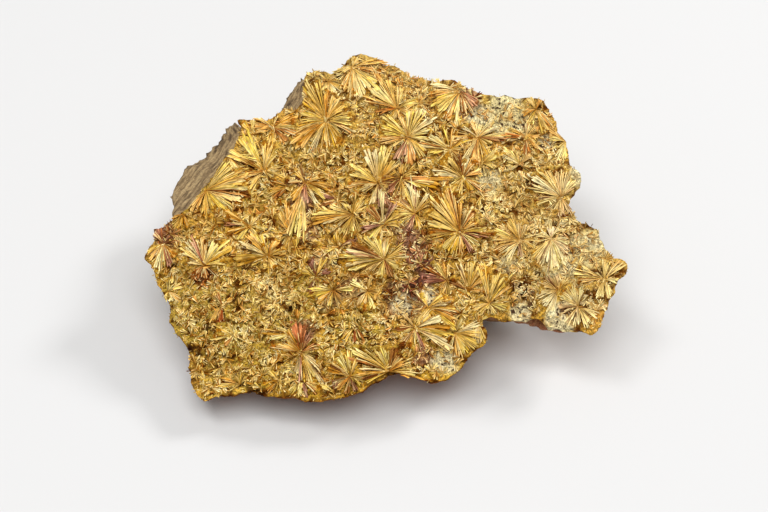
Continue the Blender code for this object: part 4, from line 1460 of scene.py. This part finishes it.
@dataclass
class NeedleFelt:
    """Small crystals scattered over the crust in sprays, thick between the fans and sparse on them."""

    name: str = "felt_needles"
    per_square_metre: float = 5.2e6
    length: float = 0.75 * MM
    half_width: float = 0.1 * MM
    half_depth: float = 0.06 * MM
    spray_scale: float = 520.0
    uprightness: float = 0.22
    stray: float = 0.55
    sizes: tuple[float, float] = (0.45, 1.25)
    seed: int = 7
    foot_share: float = 0.25
    waist_share: float = 0.62

    def needle(self) -> bpy.types.Object:
        """Makes the one crystal that is repeated: a flat double point with eight faces.

        Returns:
            The crystal.
        """
        foot, waist, tip = -self.foot_share * self.length, self.waist_share * self.length, self.length
        points = np.array(((0.0, 0.0, foot), (self.half_width, 0.0, waist), (0.0, self.half_depth, waist),
                           (-self.half_width, 0.0, waist), (0.0, -self.half_depth, waist), (0.0, 0.0, tip)))
        faces = [(0, 2, 1), (0, 3, 2), (0, 4, 3), (0, 1, 4), (5, 1, 2), (5, 2, 3), (5, 3, 4), (5, 4, 1)]
        return new_object("needle_form", points, faces)

    def group(self, material: bpy.types.Material) -> bpy.types.NodeTree:
        """Makes the Geometry Nodes group that scatters the crystals.

        Args:
            material: The finish of the crystals.

        Returns:
            The group.
        """
        tree = bpy.data.node_groups.new("scatter_needles", "GeometryNodeTree")
        for name, kind in (("Surface", "Geometry"), ("Density", "Float"), ("Spray Scale", "Float"),
                           ("Uprightness", "Float"), ("Needle", "Object"), ("Seed", "Int")):
            tree.interface.new_socket(name, in_out="INPUT", socket_type=f"NodeSocket{kind}")
        tree.interface.new_socket("Needles", in_out="OUTPUT", socket_type="NodeSocketGeometry")
        nodes = Nodes(tree)
        given = nodes.add("NodeGroupInput").outputs
        bare = nodes.add("GeometryNodeInputNamedAttribute", {"data_type": "FLOAT"}, Name="bare")
        density = nodes.add("ShaderNodeMath", {"operation": "MULTIPLY"}, in0=given["Density"],
                            in1=bare.outputs[0])
        scatter = nodes.add("GeometryNodeDistributePointsOnFaces", {"distribute_method": "RANDOM"},
                            Mesh=given["Surface"], Density=density.outputs[0], Seed=given["Seed"])
        place = nodes.add("GeometryNodeInputPosition").outputs[0]
        cells = nodes.add("ShaderNodeTexVoronoi", Vector=place, Scale=given["Spray Scale"])
        spray = nodes.vector("SUBTRACT", place, cells.outputs["Position"])
        spray = nodes.add("ShaderNodeVectorMath", {"operation": "NORMALIZE"}, in0=spray).outputs[0]
        stray = nodes.add("FunctionNodeRandomValue", {"data_type": "FLOAT_VECTOR"}, in0=(-self.stray,) * 3,
                          in1=(self.stray,) * 3, Seed=given["Seed"])
        lifted = nodes.scaled(scatter.outputs["Normal"], given["Uprightness"])
        aim = nodes.vector("ADD", nodes.vector("ADD", spray, stray.outputs[0]), lifted)
        turned = nodes.add("FunctionNodeAlignRotationToVector", {"axis": "Z"}, Vector=aim)
        spin, size, shade = (
            nodes.add("FunctionNodeRandomValue", {"data_type": "FLOAT"}, in2=low, in3=high, Seed=seed)
            for low, high, seed in ((0.0, math.pi, 11), (*self.sizes, 12), (0.0, 1.0, 13)))
        about = nodes.add("FunctionNodeAxisAngleToRotation", Axis=(0.0, 0.0, 1.0), Angle=spin.outputs[1])
        turned = nodes.add("FunctionNodeRotateRotation", {"rotation_space": "LOCAL"},
                           in0=turned.outputs[0], in1=about.outputs[0])
        form = nodes.add("GeometryNodeObjectInfo", Object=given["Needle"])
        copies = nodes.add("GeometryNodeInstanceOnPoints", Points=scatter.outputs["Points"],
                           Instance=form.outputs["Geometry"], Rotation=turned.outputs[0],
                           Scale=size.outputs[1])
        marked = nodes.add("GeometryNodeStoreNamedAttribute", {"data_type": "FLOAT", "domain": "INSTANCE"},
                           Geometry=copies.outputs[0], Name="fleck", Value=shade.outputs[1])
        real = nodes.add("GeometryNodeRealizeInstances", Geometry=marked.outputs[0])
        dressed = nodes.add("GeometryNodeSetMaterial", Geometry=real.outputs[0], Material=material)
        nodes.add("NodeGroupOutput", Needles=dressed.outputs[0])
        return tree

    def build(self, crust: bpy.types.Object) -> bpy.types.Object:
        """Scatters the crystals over the crust.

        Args:
            crust: The felted crust, with its "bare", "chips" and "tips" layers.

        Returns:
            The crystals.
        """
        base = bpy.data.objects.new(self.name, crust.data.copy())
        bpy.context.scene.collection.objects.link(base)
        form = self.needle()
        tree = self.group(NeedleFinish().make())
        scatter = base.modifiers.new("scatter", "NODES")
        scatter.node_group = tree
        values = {"Density": self.per_square_metre, "Spray Scale": self.spray_scale,
                  "Uprightness": self.uprightness, "Needle": form, "Seed": self.seed}
        for item in tree.interface.items_tree:
            if item.name in values:
                scatter[item.identifier] = values[item.name]
        base.update_tag()
        graph = bpy.context.evaluated_depsgraph_get()
        mesh = bpy.data.meshes.new_from_object(base.evaluated_get(graph))
        base.modifiers.remove(scatter)
        base.data = mesh
        mesh.name = self.name
        bpy.data.objects.remove(form)
        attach(base, "root")
        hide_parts("rosette_crust")
        return base


@dataclass(frozen=True)
class Lamp:
    """A round soft light that faces the specimen."""

    name: str
    place: tuple[float, float, float]
    size: float
    power: float

    def build(self) -> None:
        """Makes the light."""
        data = bpy.data.lights.new(self.name, "AREA")
        data.shape = "DISK"
        data.size = self.size
        data.energy = self.power
        lamp = bpy.data.objects.new(self.name, data)
        lamp.location = self.place
        lamp.rotation_euler = Vector(self.place).to_track_quat("Z", "Y").to_euler()
        bpy.context.scene.collection.objects.link(lamp)


@dataclass
class Studio:
    """A plain white sheet under the specimen, a broad light overhead, one at each side and a pale fill."""

    floor_size: float = 6.0
    lamps: tuple[Lamp, ...] = (Lamp("overhead", (0.0, -0.3, 0.96), 0.9, 6.3),
                               Lamp("right_key", (0.67, 0.435, 0.6), 0.26, 4.3),
                               Lamp("left_key", (-0.42, 0.1, 0.9), 0.35, 2.3))
    fill_strength: float = 0.30
    fill_colour: tuple[float, float, float, float] = (1.0, 0.98, 0.955, 1.0)
    paper: tuple[float, float, float] = linear(222, 222, 222)
    paper_roughness: float = 0.9
    paper_specular: float = 0.1

    def build(self) -> bpy.types.Object:
        """Makes the floor and the lights, and sets the world.

        Returns:
            The floor.
        """
        half = 0.5 * self.floor_size
        corners = np.array(((-half, -half, 0.0), (half, -half, 0.0), (half, half, 0.0), (-half, half, 0.0)))
        floor = new_object("paper_floor", corners, [(0, 1, 2, 3)])
        material, nodes, shader = new_material("white_paper")
        nodes.feed(shader, Base_Color=(*self.paper, 1.0), Roughness=self.paper_roughness,
                   Specular_IOR_Level=self.paper_specular)
        floor.data.materials.append(material)
        for lamp in self.lamps:
            lamp.build()
        world = bpy.data.worlds.new("pale_studio")
        world.use_nodes = True
        back = world.node_tree.nodes["Background"]
        back.inputs["Color"].default_value = self.fill_colour
        back.inputs["Strength"].default_value = self.fill_strength
        bpy.context.scene.world = world
        bpy.context.scene.view_settings.view_transform = "Standard"
        return floor


def read_rosettes(words: str) -> list[Rosette]:
    """Reads all rosettes, where a line that starts with a space goes on with the last rosette."""
    joined = words.strip().replace("\n ", " ")
    return [Rosette.read(line) for line in joined.splitlines()]


def main() -> None:
    """Builds the specimen's pieces and the studio."""
    rosettes = read_rosettes(ROSETTES)
    face = CrystalFace(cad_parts["rosette_crust"])
    rock = HostRock().build(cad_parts["host_rock"])
    crust = CrustFelt().build(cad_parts["rosette_crust"], rosettes)
    blades = CrystalBlades().build(face, rosettes)
    blades.data.materials.append(PearlyFinish().make())
    under = UnderFans().deal(face, rosettes)
    low = LowBlades().build(face, under)
    low.data.materials.append(blades.data.materials[0])
    sprays = SprayBlades().build(face, FeltSprays().deal(face, rosettes + under))
    sprays.data.materials.append(PearlyFinish("spray_crystal", roughness=(0.55, 0.75), specular=0.03).make())
    needles = NeedleFelt().build(crust)
    floor = Studio().build()
    for piece in (rock, crust, blades, low, sprays, needles, floor):
        log.info("%s: %d faces", piece.name, len(piece.data.polygons))
    SIGHT.camera()


if __name__ == "__main__":
    logging.basicConfig(level=logging.INFO, format="%(name)s: %(message)s")
    main()
